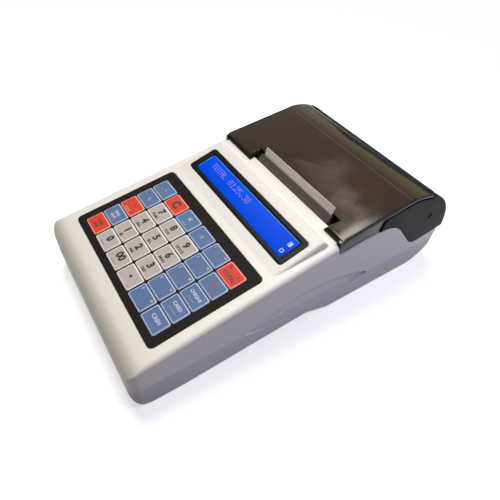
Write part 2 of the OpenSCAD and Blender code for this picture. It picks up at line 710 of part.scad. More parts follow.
// ---- boards and supply ----
module main_board() {
    color("darkgreen") {
        difference() {
            box(-40, 40, board_y0, board_y1, main_z, main_z + 1.6);
            both() for (y = [board_y0 + 6, board_y1 - 5]) translate([34, y, 0]) cylinder(h = 40, r = 1.3);
        }
        box(-10, 8, board_y0 + 20, board_y0 + 38, main_z + 1.6, main_z + 3.4);
        box(15, 27, board_y0 + 22, board_y0 + 30, main_z + 1.6, main_z + 3);
        box(-30, -16, board_y1 - 9, board_y1 - 3, main_z + 1.6, main_z + 7);
        for (x = [14, 24]) translate([x, board_y1 - 14, main_z + 1.6]) cylinder(h = 7, r = 3.2);
    }
}
module battery_pack() {
    color("royalblue") translate([0, pack_y, pack_z]) linear_extrude(pack_h) rrect(pack_w, pack_l, 3);
}
module battery_door() {
    color("lightgray") difference() {
        union() {
            box(-door_w / 2, door_w / 2, door_y0, door_y1, floor_z, floor_z + door_t);
            box(-door_w / 2 - tongue, door_w / 2 + tongue, door_y0, door_y1, floor_z + 0.5, floor_z + door_t);
        }
        for (i = [0:3]) box(-9, 9, door_y0 + 5 + 2.2 * i, door_y0 + 6 + 2.2 * i, 0, floor_z + 0.4);
    }
}
module feet() {
    color([0.2, 0.2, 0.2]) both() for (y = [y_front + 17.5, y_rear - 32]) translate([hw - 17, y, 0]) {
        cylinder(h = foot_h + 0.6, r = foot_r - 0.4);
        translate([0, 0, 0.4]) cylinder(h = foot_h + 0.2, r = foot_r);
    }
}
module case_screws() {
    color("silver") for (y = screw_ys) both() translate([screw_x, y, 0]) difference() {
        union() {
            translate([0, 0, floor_z + 1.5]) cylinder(h = 2, r = 2.6);
            translate([0, 0, floor_z + 3.4]) cylinder(h = split_z + 3, r = screw_r);
        }
        translate([0, 0, floor_z + 1.4]) linear_extrude(1) {
            square([3, 0.7], center = true);
            square([0.7, 3], center = true);
        }
    }
}
module power_inlet() {
    color([0.15, 0.15, 0.15]) difference() {
        union() {
            translate([inlet_x, port_y - 12, port_cz]) rotate([-90, 0, 0]) cylinder(h = 12.4, r = inlet_r);
            box(inlet_x - 5, inlet_x + 5, port_y - 13, port_y - wall, port_cz - 4.1, port_cz + 5);
        }
        translate([inlet_x, port_y - 9, port_cz]) rotate([-90, 0, 0]) cylinder(h = 20, r = 2.75);
    }
    color("silver") translate([inlet_x, port_y - 10, port_cz]) rotate([-90, 0, 0]) cylinder(h = 9, r = 1);
}
module serial_port() {
    x = serial_x - serial_w / 2;
    h = serial_h / 2;
    color([0.15, 0.15, 0.15]) difference() {
        union() {
            box(x, x + serial_w, port_y - 14, port_y + 0.4, port_cz - h, port_cz + h);
            box(x - 1, x + serial_w + 1, port_y - 14, port_y - wall, port_cz - h - 0.3, port_cz + h + 1);
        }
        box(x + 1.2, x + serial_w - 1.2, port_y - 12, port_y + 9, port_cz - h + 1.2, port_cz + h - 1.2);
        box(x + 3.6, x + serial_w - 3.6, port_y - 12, port_y + 9, port_cz, port_cz + h - 0.5);
    }
}

// ---- printer ----
plate_x = paper_x - paper_w / 2 - 1.5;
plate_xr = paper_x + paper_w / 2 + 1.5;
plate_t = 1.2;
gear_x1 = plate_x - plate_t - 1;
gear_x0 = gear_x1 - gear_w;
outer_x = gear_x0 - 1 - plate_t;
function inv(a) = tan(a) * 180 / PI - a;
// an involute tooth outline, thinned by a little backlash
module gear2d(n, turn) {
    rp = gear_m * n / 2;
    rb = rp * cos(20);
    ra = rp + gear_m * 0.95;
    rf = rp - gear_m * 1.25;
    half = 90 / n - 0.04 / rp * 180 / PI / 2 + inv(20);
    function roll(r) = r <= rb ? 0 : acos(rb / r);
    rs = max(rb, rf);
    polygon([for (t = [0:n - 1], s = [-1, 1], i = [0:3])
        let (k = s < 0 ? i : 3 - i, r = rs + (ra - rs) * k / 3,
            a = turn + 360 * t / n + s * (half - inv(roll(r))))
        each concat(s < 0 && k == 0 ? [rf * [cos(a - 1), sin(a - 1)]] : [], [r * [cos(a), sin(a)]],
            s > 0 && k == 0 ? [rf * [cos(a + 1), sin(a + 1)]] : [])]);
}
turn_p = -25;
turn_i = 180 - 25 + 180 / idler_teeth;
// the idler's tooth phase at the pinion sets the pinion's own
turn_m = 180 - 15 - (turn_i + 15) * idler_teeth / pinion_teeth + 180 / pinion_teeth;
module printer_frame() {
    color("lightslategray") {
        difference() {
            union() {
                prism(plate_x - plate_t, plate_x) frame2d();
                prism(plate_xr, plate_xr + plate_t) frame2d();
                box(plate_x - 0.1, plate_xr + 0.1, lip_y + 1.5, well_y1 - 1, well_z + wall, well_z + wall + 1.2);
                box(plate_x - 0.1, plate_xr + 0.1, well_y1 - 3.2, well_y1 - 2, well_z + wall, well_z + wall + 6);
                // outer plate that carries the motor
                prism(outer_x, outer_x + plate_t) polygon(rnd([[idler_c.x - 5, well_z + wall], [well_y2 - 0.5,
                    well_z + wall], [well_y2 - 0.5, pinion_c.y + 7], [idler_c.x - 5, pinion_c.y + 9]], [0, 0, 3, 3]));
                box(outer_x, plate_x - plate_t + 0.1, idler_c.x - 5, well_y1 - 1, well_z + wall, well_z + wall + 1);
                rod(outer_x, plate_x, idler_c, shaft_r);
            }
            rod(plate_x - 9, plate_xr + 9, platen_c, shaft_r + turn_gap + 0.02);
            rod(outer_x - 1, outer_x + plate_t + 1, pinion_c, 2.6);
            rod(plate_x - 5, plate_xr + 9, head_c, 0.85);
        }
    }
}
module frame2d() {
    polygon(rnd([[lip_y + 1.5, well_z + wall], [well_y1 - 1, well_z + wall], [well_y1 - 1, platen_c.y - 2],
        [platen_c.x + 4.6, platen_c.y + 4], [lip_y + 1.5, platen_c.y + 4]], [0, 0, 3, 3, 1]));
}
module platen_shaft() {
    color("silver") rod(gear_x0 - 0.6, plate_xr + plate_t + 1.6, platen_c, shaft_r);
}
module platen_rubber() {
    color([0.15, 0.15, 0.16]) difference() {
        rod(paper_x - paper_w / 2 - 0.6, paper_x + paper_w / 2 + 0.6, platen_c, platen_r);
        rod(-90, 90, platen_c, shaft_r);
    }
}
module gear(c, n, turn, hole) {
    prism(gear_x0, gear_x1) difference() {
        translate(c) gear2d(n, turn);
        translate(c) circle(hole);
    }
}
module platen_gear() { color("ivory") gear(platen_c, platen_teeth, turn_p, shaft_r); }
module idler_gear() { color("ivory") gear(idler_c, idler_teeth, turn_i, shaft_r + turn_gap); }
module motor_pinion() {
    color("gold") {
        gear(pinion_c, pinion_teeth, turn_m, 1);
        rod(outer_x - 5, gear_x1 + 0.5, pinion_c, 1);
    }
}
module feed_motor() {
    color("silver") difference() {
        union() {
            rod(-tub_hw + wall + motor_gap, outer_x, pinion_c, motor_r);
            rod(outer_x - 0.1, outer_x + plate_t, pinion_c, 2.6);
        }
        rod(outer_x - 6, outer_x + 9, pinion_c, 1 + turn_gap);
    }
}
web_y = platen_c.x - platen_r - 0.3;
web_t = 0.25;
head_c = [web_y - 1.6, dz - 24];
head_y1 = web_y - web_t - 0.3;
module print_head() {
    color("dimgray") {
        prism(paper_x - paper_w / 2, paper_x + paper_w / 2) polygon([[head_y1 - 0.9, head_c.y + 1.2],
            [head_y1 - 0.1, head_c.y + 5], [head_y1, head_c.y + 12], [head_y1 - 0.9, head_c.y + 12.6],
            [head_y1 - 1.5, head_c.y + 12.6], [head_y1 - 1.5, head_c.y + 1.2]]);
        rod(plate_x - plate_t, plate_xr + plate_t, head_c, 0.8);
        prism(paper_x - paper_w / 2, paper_x + paper_w / 2) translate(head_c) circle(1.5);
    }
}
// a leaf from the wall under the slot, round in front of the head's bar and back to its upper edge
module head_springs() {
    z0 = well_z + wall + 0.2;
    z1 = deck_z - 9;
    color("silver") for (s = [-1, 1]) prism(paper_x + s * 17 - 4, paper_x + s * 17 + 4)
        polygon([[lip_y + 1.2, z0], [lip_y + 1.45, z0], [lip_y + 1.45, z1 + 0.2], [lip_y + 0.55, z1 + 1.6],
            [lip_y + 0.55, z1 + 7.5], [lip_y + 1.65, z1 + 10.4], [lip_y + 1.65, z1 + 11.6], [lip_y + 1.4, z1 + 11.6],
            [lip_y + 1.4, z1 + 10.5], [lip_y + 0.3, z1 + 7.6], [lip_y + 0.3, z1 + 1.5], [lip_y + 1.2, z1 + 0.1]]);
}
module tear_bar() {
    z = top_z(lip_y);
    color("dimgray") prism(paper_x - paper_w / 2 - 0.95, paper_x + paper_w / 2 + 0.95)
        polygon([[lip_y + 0.05, z - 4], [lip_y + 1.2, z - 4], [lip_y + 1.2, z - 1.4], [web_y - 0.8, z + 2.1],
            [web_y - 0.45, z + 2.9], [web_y - 0.8, z + 2.9], [lip_y + 0.05, z - 0.2]]);
}
module paper_roll() {
    color("whitesmoke") difference() {
        rod(paper_x - paper_w / 2, paper_x + paper_w / 2, roll_c, roll_r, $fn = 96);
        rod(-90, 90, roll_c, core_r);
    }
}
module paper_core() {
    color("tan") difference() {
        rod(paper_x - paper_w / 2 - 0.3, paper_x + paper_w / 2 + 0.3, roll_c, core_r);
        rod(-90, 90, roll_c, core_r - 1);
    }
}
// the paper runs off the top of the roll, under the platen and up past the head
wrap_d = roll_c - platen_c;
wrap_p = platen_r + 0.3;
wrap_r = roll_r + 0.3;
wrap_a = atan2(wrap_d.y, wrap_d.x) + asin((wrap_p + wrap_r + web_t) / norm(wrap_d));
module paper_web() {
    w = web_t;
    z1 = top_z(lip_y) + 2.6;
    z2 = crest_z - 9.5 + tail_up;
    color("whitesmoke") prism(paper_x - paper_w / 2, paper_x + paper_w / 2) polygon(concat(
        [[web_y + 1.3, z2], [web_y, z1]],
        arc(platen_c, wrap_p, 180, 270 + wrap_a, 12),
        arc(roll_c, wrap_r + w, 90 + wrap_a, 82 + wrap_a, 2),
        arc(roll_c, wrap_r, 82 + wrap_a, 90 + wrap_a, 2),
        arc(platen_c, wrap_p + w, 270 + wrap_a, 180, 12),
        [[web_y - w, z1], [web_y + 1.3 - w, z2]]));
}

lower_casing();
upper_casing();
rear_housing();
printer_cover();
cover_pins();
keypad_panel();
display_window();
lcd_module();
key_mat();
keypad_board();
main_board();
printer_frame();
platen_shaft();
platen_rubber();
platen_gear();
idler_gear();
feed_motor();
motor_pinion();
print_head();
head_springs();
tear_bar();
paper_roll();
paper_core();
paper_web();
battery_pack();
battery_door();
feet();
case_screws();
power_inlet();
serial_port();
for (k = KEYS) one_key(k);
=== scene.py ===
# %% [markdown]
# # A portable ticket register
# A white wedge of moulded plastic carries a pad of thirty low keys, a blue one-line display and a ticket
# printer under a smoky hinged cover. The construction model is loaded first: it fixes every size and every
# joint, and each new piece below is fitted to it in metres.

# %% Load the construction model
import json
import math

import bmesh
import bpy
from mathutils import Matrix, Vector

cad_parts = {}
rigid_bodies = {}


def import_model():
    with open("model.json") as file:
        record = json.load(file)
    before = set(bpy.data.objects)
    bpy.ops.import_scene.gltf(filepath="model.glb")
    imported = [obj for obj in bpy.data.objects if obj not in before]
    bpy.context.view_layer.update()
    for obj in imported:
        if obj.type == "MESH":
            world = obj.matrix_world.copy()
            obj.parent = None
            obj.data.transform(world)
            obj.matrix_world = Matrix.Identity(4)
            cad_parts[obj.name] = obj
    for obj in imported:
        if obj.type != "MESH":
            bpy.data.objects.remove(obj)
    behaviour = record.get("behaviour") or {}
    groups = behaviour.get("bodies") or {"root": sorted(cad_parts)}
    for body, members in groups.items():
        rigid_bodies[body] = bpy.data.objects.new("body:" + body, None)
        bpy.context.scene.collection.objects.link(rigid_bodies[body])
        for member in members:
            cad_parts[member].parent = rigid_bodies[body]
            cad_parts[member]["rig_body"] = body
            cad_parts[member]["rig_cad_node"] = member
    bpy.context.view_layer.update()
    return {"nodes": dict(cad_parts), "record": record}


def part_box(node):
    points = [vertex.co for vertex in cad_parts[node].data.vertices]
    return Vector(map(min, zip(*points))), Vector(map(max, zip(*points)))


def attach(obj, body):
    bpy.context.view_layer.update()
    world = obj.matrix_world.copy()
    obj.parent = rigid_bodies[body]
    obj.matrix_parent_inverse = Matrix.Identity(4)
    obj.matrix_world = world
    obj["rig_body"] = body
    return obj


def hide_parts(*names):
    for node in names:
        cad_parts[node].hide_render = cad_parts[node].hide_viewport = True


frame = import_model()
nodes = frame["nodes"]
MM = 0.001

# %% [markdown]
# ## Small helpers
# Every material and the world are trees of nodes. One helper makes a node with its settings and its links at
# once, and a second mixes two colours by a share.

# %% Node helpers
BLACK, WHITE = (0, 0, 0), (1, 1, 1)


def put(tree, kind, links=None, **values):
    """A new node: its settings by name, its inputs from sockets or plain values."""
    node = tree.nodes.new(kind)
    for key, value in values.items():
        setattr(node, key, value)
    for socket, value in (links or {}).items():
        if isinstance(value, bpy.types.NodeSocket):
            tree.links.new(value, node.inputs[socket])
        else:
            node.inputs[socket].default_value = value
    return node


def mixed(tree, share, under, over, **options):
    """The colour that lies between two others; each is a socket or three numbers."""
    pair = [(*c, 1) if isinstance(c, tuple) else c for c in (under, over)]
    node = put(tree, "ShaderNodeMix", {0: share, 6: pair[0], 7: pair[1]}, data_type="RGBA", **options)
    return node.outputs[2]


def clean():
    """Back to object mode, with nothing selected."""
    if bpy.context.object and bpy.context.object.mode == "EDIT":
        bpy.ops.object.mode_set(mode="OBJECT")
    bpy.ops.object.select_all(action="DESELECT")


print("helpers ready")

# %% [markdown]
# ## Camera
# The view comes from over the operator's right shoulder. The three axes of the camera are written out,
# because a look-at constraint would leave the roll to chance.

# %% Camera
right = Vector((0.54805, 0.83292, 0.07672))
down = Vector((0.64001, -0.35852, -0.67960))
ahead = Vector((-0.53854, 0.42155, -0.72956))
camera_data = bpy.data.cameras.new("camera")
camera_data.sensor_width = 36
camera_data.lens = 30.181
camera_data.clip_start = 0.01
camera = bpy.data.objects.new("camera", camera_data)
bpy.context.scene.collection.objects.link(camera)
turn = Matrix((right, -down, -ahead)).transposed().to_4x4()
camera.matrix_world = Matrix.Translation((0.134081, -0.108217, 0.188517)) @ turn
bpy.context.scene.camera = camera
bpy.context.scene.view_settings.view_transform = "Standard"
print("camera", tuple(round(v, 4) for v in camera.location))

# %% [markdown]
# ## Light and background
# One large soft lamp over the left gives the bright top and the shaded right wall; small lamps lift the rear
# and the side. The last two stand where the smoky cover mirrors them, and make the soft sheen on its roof.
# The world has three strengths: white for the camera and through glass, grey in gloss, dim for the rest.

# %% Lamps
def soft_lamp(name, place, aim, size, power, colour):
    data = bpy.data.lights.new(name, "AREA")
    data.shape = "DISK"
    data.size = size
    data.energy = power
    data.color = colour
    lamp = bpy.data.objects.new(name, data)
    lamp.location = place
    lamp.rotation_euler = (Vector(aim) - Vector(place)).to_track_quat("-Z", "Y").to_euler()
    bpy.context.scene.collection.objects.link(lamp)
    return lamp


soft_lamp("key_lamp", (-0.34, 0.06, 1.15), (0, 0, 0.03), 0.5, 11.2, (1.0, 0.98, 0.93))
soft_lamp("rear_lamp", (0.25, 0.75, 0.70), (0, 0, 0.03), 0.35, 1.6, (0.93, 0.95, 1.0))
soft_lamp("side_lamp", (0.34, 0.34, 0.52), (0.05, 0.05, 0.03), 0.16, 1.4, (0.66, 0.63, 1.0))
soft_lamp("sheen_lamp", (-0.140, 0.215, 0.533), (0.047, 0.020, 0.055), 0.075, 0.13, (1.0, 0.98, 0.95))
soft_lamp("haze_lamp", (-0.284, 0.289, 0.533), (0.010, 0.039, 0.057), 0.12, 0.04, (1.0, 0.98, 0.95))

world = bpy.data.worlds.new("studio")
bpy.context.scene.world = world
world.use_nodes = True
sky = world.node_tree
sky.nodes.clear()
path = put(sky, "ShaderNodeLightPath")
seen = put(sky, "ShaderNodeMath", {0: path.outputs["Is Camera Ray"], 1: path.outputs["Is Transmission Ray"]},
           operation="MAXIMUM")
dim, mirrored, white = [
    put(sky, "ShaderNodeBackground", {"Color": (*colour, 1), "Strength": strength})
    for colour, strength in (((0.80, 0.80, 1.0), 0.11), ((0.93, 0.94, 1.0), 0.42), (WHITE, 1.0))]
room = put(sky, "ShaderNodeMixShader",
           {0: path.outputs["Is Glossy Ray"], 1: dim.outputs[0], 2: mirrored.outputs[0]})
view = put(sky, "ShaderNodeMixShader", {0: seen.outputs[0], 1: room.outputs[0], 2: white.outputs[0]})
put(sky, "ShaderNodeOutputWorld", {0: view.outputs[0]})
print("lamps and world made")

# %% [markdown]
# ## Floor
# A sheet of white studio paper carries the object. Close to it the paper takes the soft shadow; further out
# it turns into an even white, so that no horizon shows from any side. To the object itself the paper gives
# back little light, which keeps the right wall in shade. It is a stage piece and belongs to no part.

# %% Floor
clean()
bpy.ops.mesh.primitive_circle_add(vertices=96, radius=4, fill_type="NGON", location=(0, 0, 0))
floor = bpy.context.object
floor.name = "floor"


def floor_paper():
    """White studio paper: bright to the camera, but giving only a little light back to the object."""
    m = bpy.data.materials.new("studio_paper")
    m.use_nodes = True
    tree = m.node_tree
    shader = tree.nodes["Principled BSDF"]
    ray = put(tree, "ShaderNodeLightPath")
    where = put(tree, "ShaderNodeTexCoord").outputs["Object"]
    fibre = put(tree, "ShaderNodeTexNoise", {"Vector": where, "Scale": 300.0})
    tone = put(tree, "ShaderNodeMapRange", {"Value": fibre.outputs["Fac"], "To Min": 0.62, "To Max": 0.65})
    seen = put(tree, "ShaderNodeMath", {0: ray.outputs["Is Camera Ray"], 1: ray.outputs["Is Glossy Ray"]},
               operation="MAXIMUM")
    away = put(tree, "ShaderNodeVectorMath", {0: where}, operation="LENGTH")
    fade = put(tree, "ShaderNodeMapRange", {"Value": away.outputs["Value"], "From Min": 0.16, "From Max": 0.50},
               interpolation_type="SMOOTHSTEP")
    paper = mixed(tree, fade.outputs[0], tone.outputs[0], BLACK)
    base = mixed(tree, seen.outputs[0], (0.19, 0.19, 0.25), paper)
    lit = mixed(tree, fade.outputs[0], (0.62, 0.62, 0.61), WHITE)
    glow = mixed(tree, seen.outputs[0], BLACK, lit)
    tree.links.new(base, shader.inputs["Base Color"])
    tree.links.new(glow, shader.inputs["Emission Color"])
    shader.inputs["Emission Strength"].default_value = 1.0
    shader.inputs["Roughness"].default_value = 0.9
    shader.inputs["Specular IOR Level"].default_value = 0.0
    return m


floor.data.materials.append(floor_paper())
print("floor", floor.dimensions[:])


# %% [markdown]
# ## Shared shader groups
# Moulded plastic looks alive through three small things: a fine spark-eroded grain, slow colour drift from
# handling and light, and edges that catch the light. The grain and the drift come from one node group, used with
# its own numbers; the edges come from a bevel node in the materials that ask for one.

# %% Shader tools
def new_group(name, inputs, outputs):
    tree = bpy.data.node_groups.new(name, "ShaderNodeTree")
    for label, kind, value in inputs:
        socket = tree.interface.new_socket(label, in_out="INPUT", socket_type=kind)
        socket.default_value = value
    for label, kind in outputs:
        tree.interface.new_socket(label, in_out="OUTPUT", socket_type=kind)
    return tree, tree.nodes.new("NodeGroupInput"), tree.nodes.new("NodeGroupOutput")


FLOAT, COLOUR = "NodeSocketFloat", "NodeSocketColor"


def moulded_group():
    """Colour drift, specks and grain of a moulded plastic."""
    tree, gin, gout = new_group("moulded", [
        ("Base", COLOUR, (0.8, 0.8, 0.8, 1)), ("Drift", COLOUR, (0.7, 0.7, 0.65, 1)), ("Drift Amount", FLOAT, 0.3),
        ("Grain Size", FLOAT, 2500.0), ("Roughness", FLOAT, 0.4), ("Roughness Change", FLOAT, 0.1)],
        [("Color", COLOUR), ("Roughness", FLOAT), ("Height", FLOAT)])
    where = put(tree, "ShaderNodeTexCoord").outputs["Object"]
    wide = put(tree, "ShaderNodeTexNoise", {"Vector": where, "Scale": 22.0, "Detail": 4.0})
    ramp = put(tree, "ShaderNodeMapRange", {"Value": wide.outputs["Fac"], "From Min": 0.3, "From Max": 0.75})
    amount = put(tree, "ShaderNodeMath", {0: ramp.outputs[0], 1: gin.outputs["Drift Amount"]}, operation="MULTIPLY")
    tint = mixed(tree, amount.outputs[0], gin.outputs["Base"], gin.outputs["Drift"])
    specks = put(tree, "ShaderNodeTexNoise", {"Vector": where, "Scale": 900.0, "Detail": 2.0})
    dark = put(tree, "ShaderNodeMapRange", {"Value": specks.outputs["Fac"], "From Min": 0.2, "From Max": 0.8,
                                           "To Min": 0.955, "To Max": 1.03})
    toned = mixed(tree, 1.0, tint, dark.outputs[0], blend_type="MULTIPLY")
    grain = put(tree, "ShaderNodeTexNoise", {"Vector": where, "Scale": gin.outputs["Grain Size"], "Detail": 3.0,
                                            "Roughness": 0.6})
    smear = put(tree, "ShaderNodeTexNoise", {"Vector": where, "Scale": 60.0, "Detail": 5.0})
    change = put(tree, "ShaderNodeMath", {0: smear.outputs["Fac"], 1: gin.outputs["Roughness Change"],
                                          2: gin.outputs["Roughness"]}, operation="MULTIPLY_ADD")
    tree.links.new(toned, gout.inputs["Color"])
    tree.links.new(change.outputs[0], gout.inputs["Roughness"])
    tree.links.new(grain.outputs["Fac"], gout.inputs["Height"])
    return tree


MOULDED = moulded_group()  # each plastic below shares this one group


def moulded(name, base, drift, rough=0.4, change=0.12, amount=0.35, size=2600.0, bump=0.12, coat=0.0, edge=0.0,
            metal=0.0, shine=0.5):
    """A finished plastic or painted material; every uniform number goes straight onto the shader."""
    m = bpy.data.materials.new(name)
    m.use_nodes = True
    tree = m.node_tree
    shader = tree.nodes["Principled BSDF"]
    group = put(tree, "ShaderNodeGroup", node_tree=MOULDED)
    for label, value in (("Base", (*base, 1)), ("Drift", (*drift, 1)), ("Drift Amount", amount),
                         ("Grain Size", size), ("Roughness", rough), ("Roughness Change", change)):
        group.inputs[label].default_value = value
    relief = put(tree, "ShaderNodeBump", {"Height": group.outputs["Height"], "Strength": bump, "Distance": 0.0001})
    if edge:
        soft = put(tree, "ShaderNodeBevel", {"Radius": edge}, samples=4)
        tree.links.new(soft.outputs[0], relief.inputs["Normal"])
    tree.links.new(group.outputs["Color"], shader.inputs["Base Color"])
    tree.links.new(group.outputs["Roughness"], shader.inputs["Roughness"])
    tree.links.new(relief.outputs[0], shader.inputs["Normal"])
    shader.inputs["Metallic"].default_value = metal
    shader.inputs["Coat Weight"].default_value = coat
    shader.inputs["Specular IOR Level"].default_value = shine
    return m


def srgb(r, g, b):
    """A colour from screen values to the shader's linear ones."""
    return tuple((c / 255 / 12.92) if c < 11 else ((c / 255 + 0.055) / 1.055) ** 2.4 for c in (r, g, b))


def dress(material, *names):
    """Gives kept construction nodes their finish."""
    for name in names:
        nodes[name].data.materials.clear()
        nodes[name].data.materials.append(material)


print("shared group", MOULDED.name, "with", len(MOULDED.nodes), "nodes")

# %% [markdown]
# ## Finishes
# The casing is a pale moulding with a fine grain, the printer end and the key panel are dark grained plastic,
# the inner parts are zinc plate, steel, rubber and acetal. One function makes them all from screen colours;
# dark plastics get a weak gloss, because the white room would wash them out. The construction nodes that stay
# in sight are dressed here. Those that a worked copy replaces further down are dressed there.

# %% Finishes of the casing
white_top = moulded("casing_white", srgb(234, 230, 219), srgb(225, 219, 204), rough=0.36, change=0.16, edge=0.0009,
                    bump=0.10)
# the lower shell is the same white plastic as the upper one; its darker, cooler base is painted shade
white_low_shaded = moulded("casing_lower", srgb(219, 217, 212), srgb(206, 203, 196), rough=0.42, change=0.16, edge=0.0004,
                    bump=0.14)
charcoal = moulded("charcoal", srgb(23, 28, 26), srgb(35, 40, 36), rough=0.42, change=0.2, edge=0.0004, bump=0.18,
                   shine=0.06)
steel = moulded("steel", (0.62, 0.62, 0.62), (0.5, 0.5, 0.5), rough=0.28, metal=1.0, bump=0.05)
zinc = moulded("zinc_plate", (0.52, 0.54, 0.56), (0.44, 0.46, 0.5), rough=0.38, metal=1.0, bump=0.1)
panel_black = moulded("panel_black", srgb(30, 25, 23), srgb(40, 34, 31), rough=0.5, change=0.1, bump=0.2,
                      shine=0.07)
bezel_black = moulded("bezel_black", srgb(20, 19, 19), srgb(30, 28, 27), rough=0.34, change=0.1, bump=0.05,
                      shine=0.08)
rubber_grey = moulded("mat_rubber", (0.25, 0.25, 0.25), (0.2, 0.2, 0.2), rough=0.6, bump=0.2)
rubber_black = moulded("platen_rubber", (0.025, 0.025, 0.026), (0.04, 0.04, 0.04), rough=0.62, bump=0.3)
acetal = moulded("acetal", srgb(226, 222, 205), srgb(214, 208, 188), rough=0.38, bump=0.1)
brass = moulded("brass", (0.72, 0.5, 0.2), (0.6, 0.42, 0.18), rough=0.3, metal=1.0, bump=0.06)
dark_grey = moulded("tear_bar_grey", srgb(84, 76, 74), srgb(98, 88, 84), rough=0.45, bump=0.25, shine=0.25)
paper_white = moulded("paper", srgb(240, 229, 221), srgb(228, 216, 206), rough=0.7, bump=0.35, size=1400.0)
card = moulded("core_card", srgb(176, 146, 108), srgb(156, 126, 92), rough=0.8, bump=0.5, size=900.0)
wrap_blue = moulded("battery_wrap", srgb(40, 84, 160), srgb(52, 98, 176), rough=0.25, bump=0.1, coat=0.5)
black_plastic = moulded("connector_black", (0.015, 0.015, 0.016), (0.03, 0.03, 0.03), rough=0.4, bump=0.15)


def axis_socket(tree, axis):
    """One of the object's own coordinates, as a value."""
    where = put(tree, "ShaderNodeTexCoord")
    parts = put(tree, "ShaderNodeSeparateXYZ", {"Vector": where.outputs["Object"]})
    return parts.outputs[axis]


def paint_over(material, share, colour, **options):
    """Lays a colour over the material's present one, by a share."""
    tree = material.node_tree
    base = tree.nodes["Principled BSDF"].inputs["Base Color"]
    tree.links.new(mixed(tree, share, base.links[0].from_socket, colour, **options), base)


def hand_worn(material, colour, y_lit, y_shaded):
    """Painted shade: the casing goes darker and warmer towards its front edge, where the rounding turns from the
    light.
    """
    tree = material.node_tree
    front_shade = put(tree, "ShaderNodeMapRange", {"Value": axis_socket(tree, "Y"), "From Min": y_lit, "From Max": y_shaded},
               interpolation_type="SMOOTHSTEP")
    paint_over(material, front_shade.outputs[0], colour)


def seam_line(material, z_mid, half, colour):
    """A painted hairline along the joint of the two half shells: dark as painted shadow in the groove, pale as a
    painted highlight on its lower edge.
    """
    tree = material.node_tree
    near = put(tree, "ShaderNodeMath", {0: axis_socket(tree, "Z"), 1: z_mid, 2: half}, operation="COMPARE")
    paint_over(material, near.outputs[0], colour)


# painted shade: both shells turn darker and warmer towards the front edge
hand_worn(white_top, srgb(212, 203, 183), -0.079, -0.106)
hand_worn(white_low_shaded, srgb(190, 184, 174), -0.060, -0.106)
# painted shadow along the seam groove on the upper shell, painted highlight on the lower shell's edge
seam_line(white_top, 0.01558, 0.00009, srgb(128, 124, 118))
seam_line(white_low_shaded, 0.01538, 0.00012, srgb(244, 242, 238))
dress(white_top, "upper_casing")
dress(white_low_shaded, "lower_casing", "battery_door")
dress(charcoal, "rear_housing")
dark_steel = moulded("blackened_steel", (0.05, 0.052, 0.055), (0.09, 0.09, 0.09), rough=0.45, metal=0.6,
                     bump=0.1)
dress(dark_steel, "cover_pins")
dress(steel, "platen_shaft", "case_screws", "feed_motor")
dress(zinc, "printer_frame", "head_springs", "print_head")
dress(panel_black, "keypad_panel")
dress(rubber_grey, "key_mat")
dress(rubber_black, "platen_rubber", "feet")
dress(acetal, "platen_gear", "idler_gear")
dress(brass, "motor_pinion")
dress(card, "paper_core")
dress(wrap_blue, "battery_pack")
dress(black_plastic, "power_inlet", "serial_port")

key_grey = moulded("key_grey", srgb(187, 178, 168), srgb(176, 167, 156), rough=0.42, bump=0.1, shine=0.2)
key_blue = moulded("key_blue", srgb(95, 119, 157), srgb(85, 108, 145), rough=0.42, bump=0.1, shine=0.15)
key_red = moulded("key_red", srgb(220, 72, 48), srgb(206, 62, 42), rough=0.42, bump=0.1, shine=0.12)
finish_of = {"key_number_plastic": key_grey, "key_blue_plastic": key_blue, "key_red_plastic": key_red}
slot_of = {part["node"]: part["material_slot"] for part in frame["record"]["subparts"]}
print("finishes", len(bpy.data.materials))

# %% [markdown]
# ## Working copies
# Where the construction model already has the right shape, the piece is a merged copy of it, and only its
# edges are worked: a real moulding has no knife-sharp rim. Faces in one plane are first joined again, so
# that a bevel runs along whole edges.

# %% Copy, select and bevel
def merged_copy(node, name, flat=0.6):
    """A copy of a construction node whose faces in one plane are joined."""
    clean()
    piece = nodes[node].copy()
    piece.data = nodes[node].data.copy()
    piece.parent = None
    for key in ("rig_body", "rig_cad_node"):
        if key in piece:
            del piece[key]
    piece.name = name
    bpy.context.scene.collection.objects.link(piece)
    piece.data.materials.clear()
    bpy.context.view_layer.objects.active = piece
    piece.select_set(True)
    if piece.data.has_custom_normals:  # they would shade the new bevels wrongly
        bpy.ops.mesh.customdata_custom_splitnormals_clear()
    bpy.ops.object.mode_set(mode="EDIT")
    bpy.ops.mesh.select_all(action="SELECT")
    bpy.ops.mesh.remove_doubles(threshold=0.000002)
    bpy.ops.mesh.dissolve_limited(angle_limit=math.radians(flat))
    bpy.ops.object.mode_set(mode="OBJECT")
    return piece


def pick_edges(piece, wanted):
    """Selects, in edit mode, the edges for which wanted(a, b, angle) is true."""
    bpy.context.view_layer.objects.active = piece
    piece.select_set(True)
    bpy.ops.object.mode_set(mode="EDIT")
    bpy.ops.mesh.select_mode(type="EDGE")
    bpy.ops.mesh.select_all(action="DESELECT")
    bm = bmesh.from_edit_mesh(piece.data)
    found = 0
    for e in bm.edges:
        angle = e.calc_face_angle_signed(0) if len(e.link_faces) == 2 else 0
        if wanted(e.verts[0].co, e.verts[1].co, angle):
            e.select_set(True)
            found += 1
    bmesh.update_edit_mesh(piece.data)
    return found


def bevel_picked(piece, wanted, width, segments=4, material=-1):
    found = pick_edges(piece, wanted)
    if found:
        bpy.ops.mesh.bevel(offset=width, segments=segments, profile=0.5, material=material, clamp_overlap=True)
    bpy.ops.object.mode_set(mode="OBJECT")
    return found


def smooth(piece, angle=35):
    clean()
    bpy.context.view_layer.objects.active = piece
    piece.select_set(True)
    bpy.ops.object.shade_smooth_by_angle(angle=math.radians(angle))


